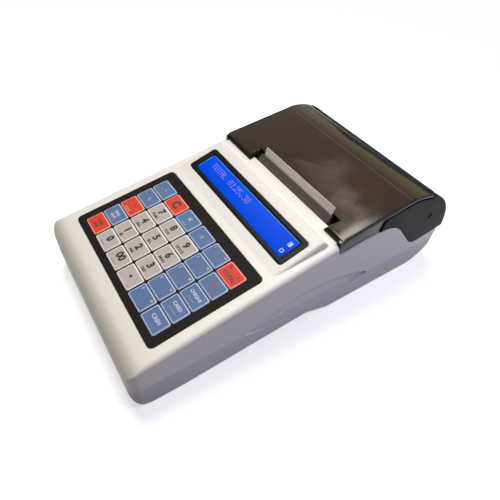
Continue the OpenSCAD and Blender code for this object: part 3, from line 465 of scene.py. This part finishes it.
def hand_over(piece, body, slot, *replaced):
    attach(piece, body)
    if replaced:
        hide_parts(*replaced)
    print(piece.name, "on", body, len(piece.data.polygons), "faces")


print("tools for copies ready")

# %% [markdown]
# ## Keys
# Each key is a low flat cap that stands only a few tenths of a millimetre proud of the black panel, with a
# paler rounded rim. Its rim gets a lighter slot of its own, and its legend is printed as a thin raised layer
# of ink.

# %% Key pad measures
SLOPE = math.radians(11)
PAD_Y, PAD_Z = -0.0851, 0.0320075  # the front end of the sloping pad
KEY_UP = 0.0006  # height of a key's top above the panel
INK_UP, INK_HALF = 0.00002, 0.00001  # the ink layer's middle above a key, and half its thickness
pad_frame = Matrix.Translation((0, PAD_Y, PAD_Z)) @ Matrix.Rotation(SLOPE, 4, "X")
to_pad = pad_frame.inverted()


def key_middle(name):
    lo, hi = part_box(name)
    local = to_pad @ ((lo + hi) / 2)
    return Vector((local.x, local.y, KEY_UP))


ink_black = moulded("ink_black", srgb(28, 26, 28), srgb(40, 38, 40), rough=0.5, bump=0.05)
ink_white = moulded("ink_white", srgb(192, 202, 218), srgb(170, 182, 204), rough=0.5, bump=0.05)
ink_red = moulded("ink_red", srgb(176, 52, 84), srgb(150, 44, 76), rough=0.5, bump=0.05)
ink_gold = moulded("ink_gold", srgb(196, 182, 96), srgb(176, 164, 84), rough=0.5, bump=0.05)
rim_grey = moulded("rim_grey", srgb(236, 232, 226), srgb(224, 220, 214), rough=0.4, bump=0.05, shine=0.2)
rim_blue = moulded("rim_blue", srgb(178, 194, 220), srgb(164, 182, 210), rough=0.4, bump=0.05, shine=0.2)
rim_red = moulded("rim_red", srgb(250, 160, 142), srgb(244, 146, 128), rough=0.4, bump=0.05, shine=0.2)


def printed(text, at, size, place, ink, bold):
    """One legend, made a mesh and laid on a surface."""
    clean()
    bpy.ops.object.text_add()
    label = bpy.context.object
    label.data.body = text
    label.data.size = size
    label.data.align_x = "CENTER"
    label.data.align_y = "CENTER"
    label.data.offset = bold
    label.data.extrude = INK_HALF
    label.data.resolution_u = 3
    bpy.ops.object.convert(target="MESH")
    label = bpy.context.object
    label.data.transform(place @ Matrix.Translation(at + Vector((0, 0, INK_UP))))
    label.data.materials.clear()
    label.data.materials.append(ink)
    return label


def join(piece, extras):
    clean()
    for extra in extras:
        extra.select_set(True)
    piece.select_set(True)
    bpy.context.view_layer.objects.active = piece
    if extras:
        bpy.ops.object.join()
    return piece


# each legend: text, place from the key's middle in millimetres, height, ink, boldness
def mark(text, x, y, size, ink=ink_black, bold=0.0):
    return (text, x, y, size, ink, bold)


def big(text):
    return mark(text, 0, 1.1, 5.3, bold=0.27)


def small(text, ink=ink_black, y=-2.7, size=2.1):
    return mark(text, 0, y, size, ink, 0.08)


LEGENDS = {
    "key_0": [big("0"), small("- - -")],
    "key_00": [big("00"), small("- - -")],
    "key_point": [mark("•", 0, 0.3, 6.4), mark("▴", 3.9, -3.0, 2.4)],
}
DIGIT_LETTERS = {"1": "_ @", "2": "ABC", "3": "DEF", "4": "GHI", "5": "JKL", "6": "MNO", "7": "PQRS", "8": "TUV",
                 "9": "WXYZ"}
for digit, letters in DIGIT_LETTERS.items():
    LEGENDS["key_" + digit] = [big(digit), small(letters)]
LEGENDS.update({
    "key_clear": [mark("C", 0, 0, 6.2, bold=0.34)],
    "key_multiply": [mark("×", 0, 0.8, 4.6, ink_white, 0.03), small("• • •", ink_gold)],
    "key_minus": [mark("–", 0.6, 1.6, 4.0, bold=0.05), mark("•", -3.6, 2.2, 1.8, bold=0.05),
                  small("= = =", ink_gold)],
    "key_mode": [mark("±", 0, 0.4, 3.4, ink_gold, 0.02)],
    "key_function": [mark("▸", 1.2, 0.4, 3.4, ink_white), mark("•", -2.0, -0.6, 2.0, ink_white)],
    "key_feed": [mark("•", -3.2, 2.3, 2.2, bold=0.05), mark("%", 1.0, 0.0, 3.0, ink_white)],
    "key_paid_out": [small("PAID", ink_white, 1.2, 2.2), small("OUT", ink_white, -1.4, 2.2)],
    "key_cancel": [small("VOID", ink_black, 1.2, 2.2), small("LINE", ink_black, -1.4, 2.2)],
    "key_total": [mark("%", -3.6, 2.4, 2.6, bold=0.04), mark("▸", 3.6, 2.0, 3.4),
                  small("TOTAL", ink_black, -1.2, 2.7)],
    "key_subtotal": [mark("▴", -4.4, 2.8, 1.8, ink_red), small("SUB", ink_red, 0.6, 2.4),
                     mark("■", 3.6, -2.8, 1.6, ink_red)],
    "key_cheque": [small("CHEQUE", ink_white, 1.0, 2.1), small("- - - -", ink_gold, -1.6, 1.9)],
    "key_card": [small("CARD", ink_white, 1.4, 2.4), small("- - - - -", ink_gold, -1.2, 2.0)],
    "key_cash": [small("CASH", ink_white, 0.6, 2.6), mark("▾", 4.0, -2.9, 1.8)],
})
for n in range(1, 6):
    LEGENDS[f"key_dept_{n}"] = [mark(str(n), -4.4, 2.6, 2.0, ink_white, 0.02), mark("▾", 4.2, -2.9, 2.6),
                                mark("■", 4.4, 2.8, 1.5, ink_gold)]
RIMS = {"key_number_plastic": rim_grey, "key_blue_plastic": rim_blue, "key_red_plastic": rim_red}
print("legends", len(LEGENDS))


# %% [markdown]
# ## Key tops
# Each key is a copy of its own construction node. Its top edge is bevelled twice into a soft rim, the plate
# is inset so that the pale outline round it grows wider, and the legend is joined in. Each top rides on the
# body of its own button, so that it sinks with it.

# %% Make the keys
RIM_ROUND, RIM_FINISH, RIM_INSET = 0.00030, 0.00012, 0.00022
RIM_BREAK = 0.0002  # how far under the top the second bevel is made
RIM_DEPTH = 0.00035  # faces nearer the top than this belong to the pale rim
ON_TOP, ON_RIM = 3e-5, 4e-5
RIM_SLOT = 1  # the slot of the rim's material


def key_rim(top):
    """Picks the sharp edges at one height over the pad."""
    def wanted(a, b, angle):
        level = all(abs((to_pad @ end).z - top) < ON_RIM for end in (a, b))
        return level and angle > math.radians(40)
    return wanted


def top_area(area, middle):
    """The area of a face on the key's top, and 0 for any other face."""
    return area if (to_pad @ middle).z > KEY_UP - ON_TOP else 0


for name, legend in LEGENDS.items():
    key = merged_copy(name, name + "_top", 0.3)
    slot = slot_of[name]
    key.data.materials.append(finish_of[slot])
    key.data.materials.append(RIMS[slot])
    bevel_picked(key, key_rim(KEY_UP), RIM_ROUND, 3, material=RIM_SLOT)
    bevel_picked(key, key_rim(KEY_UP - RIM_BREAK), RIM_FINISH, 2, material=RIM_SLOT)
    # the pale outline is a little wider than the rounded rim
    bpy.ops.object.mode_set(mode="EDIT")
    bpy.ops.mesh.select_mode(type="FACE")
    bpy.ops.mesh.select_all(action="DESELECT")
    bm = bmesh.from_edit_mesh(key.data)
    top = max(bm.faces, key=lambda f: top_area(f.calc_area(), f.calc_center_median()))
    top.select_set(True)
    bmesh.update_edit_mesh(key.data)
    bpy.ops.mesh.inset(thickness=RIM_INSET, depth=0)
    bpy.ops.mesh.select_all(action="INVERT")
    bpy.ops.object.mode_set(mode="OBJECT")
    plate = max(key.data.polygons, key=lambda f: top_area(f.area, f.center)).index
    for face in key.data.polygons:
        height = (to_pad @ face.center).z
        faces_up = (to_pad.to_3x3() @ face.normal).z > 0.05
        if face.index != plate and height > KEY_UP - RIM_DEPTH and faces_up:
            face.material_index = RIM_SLOT
    smooth(key, 40)
    middle = key_middle(name)
    labels = [printed(text, middle + Vector((x * MM, y * MM, 0)), height * MM, pad_frame, ink, bold * MM)
              for text, x, y, height, ink, bold in legend]
    join(key, labels)
    hand_over(key, "button_" + name[4:], slot, name)

# %% [markdown]
# ## Smoky printer cover
# The cover is one thin tinted moulding: a long flat roof that turns down into a drum at the back, with a
# notch in front for the ticket. Its colour, gloss and clearness follow the place on the roof: brown in
# front, olive where it bends, and nearly black over the dark housing.

# %% Smoky plastic
def ease(tree, value, start, end, first=0.0, last=1.0):
    """A smooth change from one number to another while a value passes from start to end."""
    return put(tree, "ShaderNodeMapRange", {"Value": value, "From Min": start, "From Max": end, "To Min": first,
                                            "To Max": last}, interpolation_type="SMOOTHSTEP").outputs[0]


def times(tree, a, b):
    return put(tree, "ShaderNodeMath", {0: a, 1: b}, operation="MULTIPLY").outputs[0]


def smoky_plastic():
    m = bpy.data.materials.new("smoky_plastic")
    m.use_nodes = True
    tree = m.node_tree
    shader = tree.nodes["Principled BSDF"]
    where = put(tree, "ShaderNodeTexCoord").outputs["Object"]
    parts = put(tree, "ShaderNodeSeparateXYZ", {"Vector": where})
    x, y = parts.outputs["X"], parts.outputs["Y"]

    def noise(scale, detail):
        return put(tree, "ShaderNodeTexNoise", {"Vector": where, "Scale": scale, "Detail": detail}).outputs["Fac"]

    def distance_to(middle):
        return put(tree, "ShaderNodeVectorMath", {0: where, 1: middle}, operation="DISTANCE").outputs["Value"]

    drift = noise(26.0, 3.0)
    colour = mixed(tree, drift, srgb(56, 40, 30), srgb(76, 57, 45))
    # the plastic turns olive where it bends down at the back
    colour = mixed(tree, ease(tree, y, 0.052, 0.066), colour, srgb(86, 74, 34))
    # and nearly black where the dark housing lies close behind it, by a line that wanders a little
    wander = put(tree, "ShaderNodeMath", {0: drift, 1: 0.012, 2: y}, operation="MULTIPLY_ADD")
    behind = ease(tree, wander.outputs[0], 0.0705, 0.0735)
    colour = mixed(tree, behind, colour, srgb(24, 24, 18))
    # a painted highlight: a thin pale line along the crease at the end of the flat roof
    crease_highlight = put(tree, "ShaderNodeMath", {0: y, 1: 0.0556, 2: 0.00022}, operation="COMPARE")
    colour = mixed(tree, times(tree, crease_highlight.outputs[0], 0.35), colour, srgb(150, 138, 112))
    # painted sheen: paler hazy patches on the roof, strongest towards the front right
    near = ease(tree, distance_to((0.036, 0.024, 0.0563)), 0.004, 0.022, 1.0, 0.0)
    far_sheen = ease(tree, distance_to((0.008, 0.042, 0.0579)), 0.002, 0.016, 0.55, 0.0)
    patch = put(tree, "ShaderNodeMath", {0: near, 1: far_sheen}, operation="MAXIMUM")
    sheen_cloud = put(tree, "ShaderNodeMapRange", {"Value": noise(75.0, 5.0), "From Min": 0.40, "From Max": 0.66,
                                            "To Max": 0.7})
    colour = mixed(tree, times(tree, patch.outputs[0], sheen_cloud.outputs[0]), colour, srgb(122, 116, 106))
    # a vague ring shows in the roof
    off_ring = put(tree, "ShaderNodeMath", {0: distance_to((0.030, 0.030, 0.0562)), 1: 0.0048},
                   operation="SUBTRACT")
    off_ring = put(tree, "ShaderNodeMath", {0: off_ring.outputs[0]}, operation="ABSOLUTE")
    colour = mixed(tree, ease(tree, off_ring.outputs[0], 0.0002, 0.0014, 0.4, 0.0), colour, srgb(92, 86, 56))
    # and a painted reflection: a pale streak on the roof beside the right bead, towards the front
    rim_reflection = times(tree, ease(tree, x, 0.0455, 0.0494), ease(tree, y, 0.018, 0.040, 1.0, 0.0))
    colour = mixed(tree, times(tree, rim_reflection, 0.75), colour, srgb(176, 172, 168))
    rough = put(tree, "ShaderNodeMapRange", {"Value": noise(45.0, 6.0), "To Min": 0.10, "To Max": 0.22})
    relief = put(tree, "ShaderNodeBump", {"Height": noise(120.0, 2.0), "Strength": 0.06, "Distance": 0.0002})
    shine = put(tree, "ShaderNodeMapRange", {"Value": behind, "To Min": 0.30, "To Max": 0.02})
    clear = put(tree, "ShaderNodeMapRange", {"Value": behind, "To Min": 0.35, "To Max": 0.0})
    for source, target in ((colour, "Base Color"), (rough.outputs[0], "Roughness"), (relief.outputs[0], "Normal"),
                           (shine.outputs[0], "Specular IOR Level"), (clear.outputs[0], "Transmission Weight")):
        tree.links.new(source, shader.inputs[target])
    shader.inputs["IOR"].default_value = 1.49
    shader.inputs["Specular Tint"].default_value = (1.0, 0.86, 0.72, 1)
    return m


smoky_film = smoky_plastic()
rim_dark = moulded("smoky_rim", srgb(20, 17, 15), srgb(34, 28, 24), rough=0.16, change=0.1, bump=0.03, shine=0.22)
print("cover finishes", smoky_film.name, rim_dark.name)

# %% [markdown]
# ## Edges of the cover
# Tinted plastic looks nearly black where light runs lengthwise through an edge. So the rims are bevelled
# first, and then the front faces and the skirts get a darker slot than the roof.

# %% Round the cover's rims
cover = merged_copy("printer_cover", "cover_shell", 0.4)
cover.data.materials.append(smoky_film)
cover.data.materials.append(rim_dark)
COVER_HALF = 0.0514  # half the width of the cover
FRONT_Y, FRONT_Z, FRONT_X = 0.0200, 0.0495, 0.0511  # front edges lie ahead, above and within these
FACE_Y, FACE_Z, SKIRT_X = 0.0215, 0.045, 0.0508  # the front faces and the skirts, in the same way
SIDE_ROUND, FRONT_ROUND = 0.0009, 0.0004
SHARP = math.radians(35)


def side_rim(a, b, angle):
    return abs(abs(a.x) - COVER_HALF) < 5e-5 and abs(a.x - b.x) < 1e-5 and angle > SHARP


def front_rim(a, b, angle):
    return max(a.y, b.y) < FRONT_Y and min(a.z, b.z) > FRONT_Z and angle > SHARP and abs(a.x) < FRONT_X


print("side rims", bevel_picked(cover, side_rim, SIDE_ROUND, 4))
print("front rims", bevel_picked(cover, front_rim, FRONT_ROUND, 3))
for face in cover.data.polygons:
    at_front = face.center.y < FACE_Y and face.normal.z < 0.6 and face.center.z > FACE_Z
    at_side = abs(face.center.x) > SKIRT_X and abs(face.normal.x) > 0.5
    if at_front or at_side:
        face.material_index = RIM_SLOT
smooth(cover, 38)

# %% [markdown]
# ## Rim bead of the cover
# A thin moulding needs a stiff rim, so its roof ends in a bead that stands a little proud of the skirt and
# casts a dark line on it. The bead is one rectangle, extruded along the roof's own profile, then bevelled
# until it is nearly round. It ends with the cover, so that it clears the fixed housing when the cover swings.

# %% Roof profile and beads
# points (y, z) and radius in millimetres: front end and crest of the roof, and the drum behind it
ROOF_EDGE, CREST = (11.0, 53.31), (58.0, 60.0)
DRUM, DRUM_R = (58.0, 20.0), 40.0
ROOF_END = 4  # the flat roof stops this far short of the crest
BEAD_FRONT, BEAD_W, BEAD_H = 11.3, 1.9, 1.7
BEAD_X, BEAD_ROUND = 0.05085, 0.00055
# the cover's rear rim lies at 69 degrees on the drum, and the fixed housing starts behind it
COVER_SWEEP, SWEEP_STEPS = 90 - 69, 14


def roof_profile():
    """Points (y, z) in millimetres along the top of the cover, from its front rim to its rear rim."""
    (y0, z0), (y1, z1) = ROOF_EDGE, CREST
    along = Vector((y1 - y0, z1 - z0)).normalized()
    points = [Vector((BEAD_FRONT, z0 + (BEAD_FRONT - y0) * along.y / along.x)),
              Vector((y1 - ROOF_END, z1 - ROOF_END * along.y / along.x))]
    for i in range(SWEEP_STEPS + 1):
        a = math.radians(90 - COVER_SWEEP * i / SWEEP_STEPS)
        points.append(Vector((DRUM[0] + DRUM_R * math.cos(a), DRUM[1] + DRUM_R * math.sin(a))))
    return points


def sweep_along(name, points, width, height, x_mid):
    """A rectangular bar whose top follows points (y, z) in millimetres."""
    clean()
    y, z = points[0]
    bpy.ops.mesh.primitive_plane_add(size=1, location=(x_mid, y * MM, (z - height / 2) * MM),
                                     rotation=(math.pi / 2, 0, 0))
    bar = bpy.context.object
    bar.name = name
    bar.scale = (width * MM, height * MM, 1)
    bpy.ops.object.transform_apply(location=True, rotation=True, scale=True)
    bpy.ops.object.mode_set(mode="EDIT")
    bpy.ops.mesh.select_mode(type="FACE")
    bpy.ops.mesh.select_all(action="SELECT")
    heading = 0.0
    for here, there in zip(points, points[1:]):
        step = there - here
        turned = math.atan2(step.y, step.x)
        bpy.ops.mesh.extrude_region_move(TRANSFORM_OT_translate={"value": (0, step.x * MM, step.y * MM)})
        bpy.ops.transform.rotate(value=-(turned - heading), orient_axis="X",
                                 center_override=(x_mid, there.x * MM, there.y * MM))
        heading = turned
    bpy.ops.mesh.select_all(action="SELECT")
    bpy.ops.mesh.normals_make_consistent(inside=False)
    bpy.ops.object.mode_set(mode="OBJECT")
    return bar


beads = []
for side in (-1, 1):
    bead = sweep_along("cover_bead", roof_profile(), BEAD_W, BEAD_H, side * BEAD_X)
    bevel_picked(bead, lambda a, b, angle: abs(a.x - b.x) < 1e-5 and angle > 0.6, BEAD_ROUND, 4)
    bead.data.materials.append(rim_dark)
    beads.append(bead)
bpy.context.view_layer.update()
join(cover, beads)
smooth(cover, 38)
hand_over(cover, "cover", "smoky_plastic", "printer_cover")

# %% [markdown]
# ## Display
# Behind the black frame lies a blue glass with one line of dot-matrix figures. Each dot on the real glass is
# a small transparent electrode, so here each dot is a small flat square, copied from one and laid in a five
# by seven cell. A pale line of light runs along the glass where its backlight leaks past the frame.

# %% Glass
WIN_SLOPE = math.radians(18.3)
win_frame = Matrix.Translation((0, -0.0193, 0.04552)) @ Matrix.Rotation(WIN_SLOPE, 4, "X")
GLASS_UP, GLASS_W, GLASS_L, GLASS_MID = -0.0004, 0.0798, 0.0121, 0.00885  # on the window's slope


def lcd_material(name, base, drift, rough, level):
    m = moulded(name, base, drift, rough=rough, change=0.05, bump=0.0, amount=0.5)
    shader = m.node_tree.nodes["Principled BSDF"]
    shader.inputs["Specular IOR Level"].default_value = level
    return m


glass_blue = lcd_material("glass_blue", srgb(0, 84, 240), srgb(0, 64, 214), 0.42, 0.05)
glow_cyan = lcd_material("glow_cyan", srgb(120, 205, 250), srgb(90, 190, 245), 0.3, 0.2)
dot_violet = lcd_material("dot_violet", srgb(150, 150, 238), srgb(126, 130, 230), 0.35, 0.2)
icon_pale = lcd_material("icon_pale", srgb(206, 222, 244), srgb(190, 210, 240), 0.35, 0.2)

# seven rows of five dots each, from the top, one byte to a row
CELLS = {
    "0": "0E11131519110E", "1": "040C040404040E", "2": "0E11010204081F", "3": "1F02040201110E",
    "5": "1F101E0101110E", "T": "1F040404040404", "O": "0E11111111110E", "A": "0E11111F111111",
    "L": "1010101010101F", ".": "00000000000C0C", " ": "00000000000000",
}
CELL_W, CELL_ROWS, CELL_PITCH = 5, 7, 6
DOT, DOT_GAP, DOT_STRETCH = 0.00042, 0.00005, 1.12
PATCH_THICK = 0.00002


def flat_patch(name, corner, width, length, ink):
    """A thin flat plate on the glass, from its low left corner."""
    clean()
    middle = (corner[0] + width / 2, corner[1] + length / 2, GLASS_UP)
    bpy.ops.mesh.primitive_plane_add(size=1, location=middle)
    patch = bpy.context.object
    patch.name = name
    patch.scale = (width, length, 1)
    bpy.ops.object.transform_apply(location=True, rotation=True, scale=True)
    bpy.ops.object.mode_set(mode="EDIT")
    bpy.ops.mesh.select_all(action="SELECT")
    bpy.ops.mesh.extrude_region_move(TRANSFORM_OT_translate={"value": (0, 0, PATCH_THICK)})
    bpy.ops.mesh.select_all(action="SELECT")
    bpy.ops.mesh.normals_make_consistent(inside=False)
    bpy.ops.object.mode_set(mode="OBJECT")
    patch.data.transform(win_frame)
    patch.data.materials.append(ink)
    return patch


def copy_moved(source, offset):
    twin = source.copy()
    twin.data = source.data.copy()
    twin.data.transform(Matrix.Translation(offset))
    bpy.context.scene.collection.objects.link(twin)
    return twin


def dot_line(text, left, low):
    """Dots of one line of figures, all copied from one square."""
    first = flat_patch("dot", (left, low), DOT, DOT, dot_violet)
    across = win_frame.to_3x3() @ Vector((1, 0, 0))
    up = win_frame.to_3x3() @ Vector((0, 1, 0))
    step = DOT + DOT_GAP
    dots = []
    for n, letter in enumerate(text):
        for r, row in enumerate(bytes.fromhex(CELLS[letter])):
            for c in range(CELL_W):
                if row >> (CELL_W - 1 - c) & 1:
                    column, line = n * CELL_PITCH + c, CELL_ROWS - 1 - r
                    dots.append(copy_moved(first, across * (column * step) + up * (line * step * DOT_STRETCH)))
    bpy.data.objects.remove(first)
    return dots


print("display finishes and", len(CELLS), "figures")

# %% [markdown]
# ## Lit glass and frame
# The glass is a copy of the display module with softened edges, and the dots and the leaking backlight are
# joined to it. The frame is a copy of the window with a rounded rim, which catches a thin line of light.

# %% Light the display
def rim_above(level, exact):
    """Picks sharp edges at a height over the window's frame, or anywhere above it."""
    def wanted(a, b, angle):
        heights = [(to_window @ end).z for end in (a, b)]
        at_level = all(abs(h - level) < 3e-5 for h in heights) if exact else min(heights) > level
        return at_level and angle > 0.6
    return wanted


GLASS_ROUND, FRAME_ROUND, FRAME_LEVEL = 0.00012, 0.00022, 0.0002
TEXT_X, TEXT_Y = 0.0062, 0.0058  # where the line of figures starts on the glass
GLOW = 0.00022  # width of the leaking line of light
ICON_SHIFT = 0.0012
to_window = win_frame.inverted()
glass = merged_copy("lcd_module", "lcd_glass", 0.3)
glass.data.materials.append(glass_blue)
bevel_picked(glass, rim_above(GLASS_UP, exact=True), GLASS_ROUND, 2)
smooth(glass, 35)
low, left = GLASS_MID - GLASS_L / 2, -GLASS_W / 2
marks = dot_line("TOTAL 0125.30", left + TEXT_X, low + TEXT_Y)
marks.append(flat_patch("glow_rear", (left + 0.001, low + GLASS_L - 0.0004), GLASS_W - 0.002, GLOW, glow_cyan))
marks.append(flat_patch("glow_left", (left + 0.0002, low + 0.001), GLOW, GLASS_L - 0.002, glow_cyan))
# the strokes of the status icons: distance from the right end, height, width and length in millimetres
ICON_STROKES = ((3.0, 6.8, 1.2, 2.6), (4.6, 6.8, 0.4, 2.6), (3.0, 2.0, 2.2, 0.4), (3.0, 3.6, 2.2, 0.4),
                (3.0, 2.0, 0.4, 2.0), (4.8, 2.0, 0.4, 2.0))
icon_end = left + GLASS_W + ICON_SHIFT
for stroke in ICON_STROKES:
    inset, up, wide, long = (value * MM for value in stroke)
    marks.append(flat_patch("icon", (icon_end - wide - inset, low + up), wide, long, icon_pale))
join(glass, marks)
hand_over(glass, "casing", slot_of["lcd_module"], "lcd_module")

bezel = merged_copy("display_window", "display_frame", 0.3)
bezel.data.materials.append(bezel_black)
bevel_picked(bezel, rim_above(FRAME_LEVEL, exact=False), FRAME_ROUND, 3)
smooth(bezel, 35)
hand_over(bezel, "casing", slot_of["display_window"], "display_window")

# %% [markdown]
# ## Tear bar
# The ticket leaves the slot behind a dark bar whose edge is cut into fine teeth. One tooth is made from a
# four-sided cone, flattened, and copied along the bar at its pitch, each copy with a mesh of its own.

# %% Tear bar
SLIP_MID, SLIP_W = 0.0063, 0.0575  # middle and width of the ticket
bar = merged_copy("tear_bar", "tear_edge", 0.3)
bar.data.materials.append(dark_grey)
TOOTH_AT = (0, 0.01655, 0.0540)
TOOTH_R, TOOTH_TIP, TOOTH_TALL, TOOTH_FLAT = 0.00046, 0.00005, 0.0005, 0.52
TOOTH_PITCH, TEETH = 0.00068, 86
clean()
bpy.ops.mesh.primitive_cone_add(vertices=4, radius1=TOOTH_R, radius2=TOOTH_TIP, depth=TOOTH_TALL,
                                rotation=(0, 0, math.pi / 4), location=TOOTH_AT)
tooth = bpy.context.object
bpy.ops.object.transform_apply(location=True, rotation=True, scale=True)
bpy.ops.object.mode_set(mode="EDIT")
bpy.ops.mesh.select_all(action="SELECT")
bpy.ops.transform.resize(value=(1, TOOTH_FLAT, 1), center_override=TOOTH_AT)
bpy.ops.object.mode_set(mode="OBJECT")
tooth.data.materials.append(dark_grey)
teeth = [copy_moved(tooth, Vector((SLIP_MID + (i - (TEETH - 1) / 2) * TOOTH_PITCH, 0, 0))) for i in range(TEETH)]
bpy.data.objects.remove(tooth)
join(bar, teeth)
hand_over(bar, "casing", slot_of["tear_bar"], "tear_bar")

# %% [markdown]
# ## Ticket paper
# The end of the ticket was torn off against the bar. The strip is a copy of the construction one; only its top
# edge is worked: it is cut into small steps, and every second point is pulled down, which leaves the print of
# the teeth.

# %% Paper
TORN_STEPS, TORN_SHIFT = 84, (0, -0.00008, -0.00038)
AT_TOP, LONG_EDGE = 5e-5, 0.01
web = merged_copy("paper_web", "ticket_paper", 0.2)
web.data.materials.append(paper_white)
top_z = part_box("paper_web")[1].z
across = pick_edges(web, lambda a, b, angle: min(a.z, b.z) > top_z - AT_TOP and abs(a.x - b.x) > LONG_EDGE)
print("top edges", across)
bpy.ops.mesh.subdivide(number_cuts=TORN_STEPS - 1)
bm = bmesh.from_edit_mesh(web.data)
bpy.ops.mesh.select_mode(type="VERT")
bpy.ops.mesh.select_all(action="DESELECT")
step = SLIP_W / TORN_STEPS
for v in bm.verts:
    if v.co.z > top_z - AT_TOP and round((v.co.x - SLIP_MID + SLIP_W / 2) / step) % 2:
        v.select_set(True)
bm.select_flush_mode()
bmesh.update_edit_mesh(web.data)
bpy.ops.transform.translate(value=TORN_SHIFT)
bpy.ops.object.mode_set(mode="OBJECT")
hand_over(web, "casing", slot_of["paper_web"], "paper_web")

# %% [markdown]
# ## Paper roll, boards and other inner surfaces
# The inner parts show when the cover is up. The roll shows the edges of its wound layers, so its paper takes
# rings from the distance to the roll's own axis; the boards take tracks from a brick pattern and pads from
# a cell pattern.

# %% Wound paper and boards
ROLL_AXIS, RINGS = (0.055, 0.033), 9000.0  # place (y, z) of the axis, and how close the rings lie


def axis_distance(tree, y, z):
    """The distance from a line that runs from side to side."""
    where = put(tree, "ShaderNodeTexCoord")
    shift = put(tree, "ShaderNodeVectorMath", {0: where.outputs["Object"], 1: (0, y, z)}, operation="SUBTRACT")
    flat = put(tree, "ShaderNodeVectorMath", {0: shift.outputs[0], 1: (0, 1, 1)}, operation="MULTIPLY")
    return put(tree, "ShaderNodeVectorMath", {0: flat.outputs[0]}, operation="LENGTH")


def wound_paper():
    m = moulded("wound_paper", srgb(240, 230, 222), srgb(228, 217, 207), rough=0.75, bump=0.2, size=1400.0)
    tree = m.node_tree
    radius = axis_distance(tree, *ROLL_AXIS)
    turns = times(tree, radius.outputs["Value"], RINGS)
    wave = put(tree, "ShaderNodeMath", {0: turns}, operation="SINE")
    tone = put(tree, "ShaderNodeMapRange", {"Value": wave.outputs[0], "From Min": -1.0, "To Min": 0.82})
    paint_over(m, 1.0, tone.outputs[0], blend_type="MULTIPLY")
    return m


def circuit_board():
    m = moulded("circuit_board", srgb(20, 92, 50), srgb(28, 108, 60), rough=0.32, bump=0.08, coat=0.3)
    tree = m.node_tree
    where = put(tree, "ShaderNodeTexCoord").outputs["Object"]
    tracks = put(tree, "ShaderNodeTexBrick", {"Vector": where, "Scale": 260.0, "Mortar Size": 0.06,
                                             "Mortar Smooth": 0.1})
    pads = put(tree, "ShaderNodeTexVoronoi", {"Vector": where, "Scale": 330.0, "Randomness": 0.35})
    dots = put(tree, "ShaderNodeMath", {0: pads.outputs["Distance"], 1: 0.16}, operation="LESS_THAN")
    paint_over(m, tracks.outputs["Fac"], srgb(52, 140, 76))
    paint_over(m, dots.outputs[0], srgb(190, 186, 176))
    tree.links.new(dots.outputs[0], tree.nodes["Principled BSDF"].inputs["Metallic"])
    return m


dress(wound_paper(), "paper_roll")
dress(circuit_board(), "main_board", "keypad_board")
print("inner finishes made")
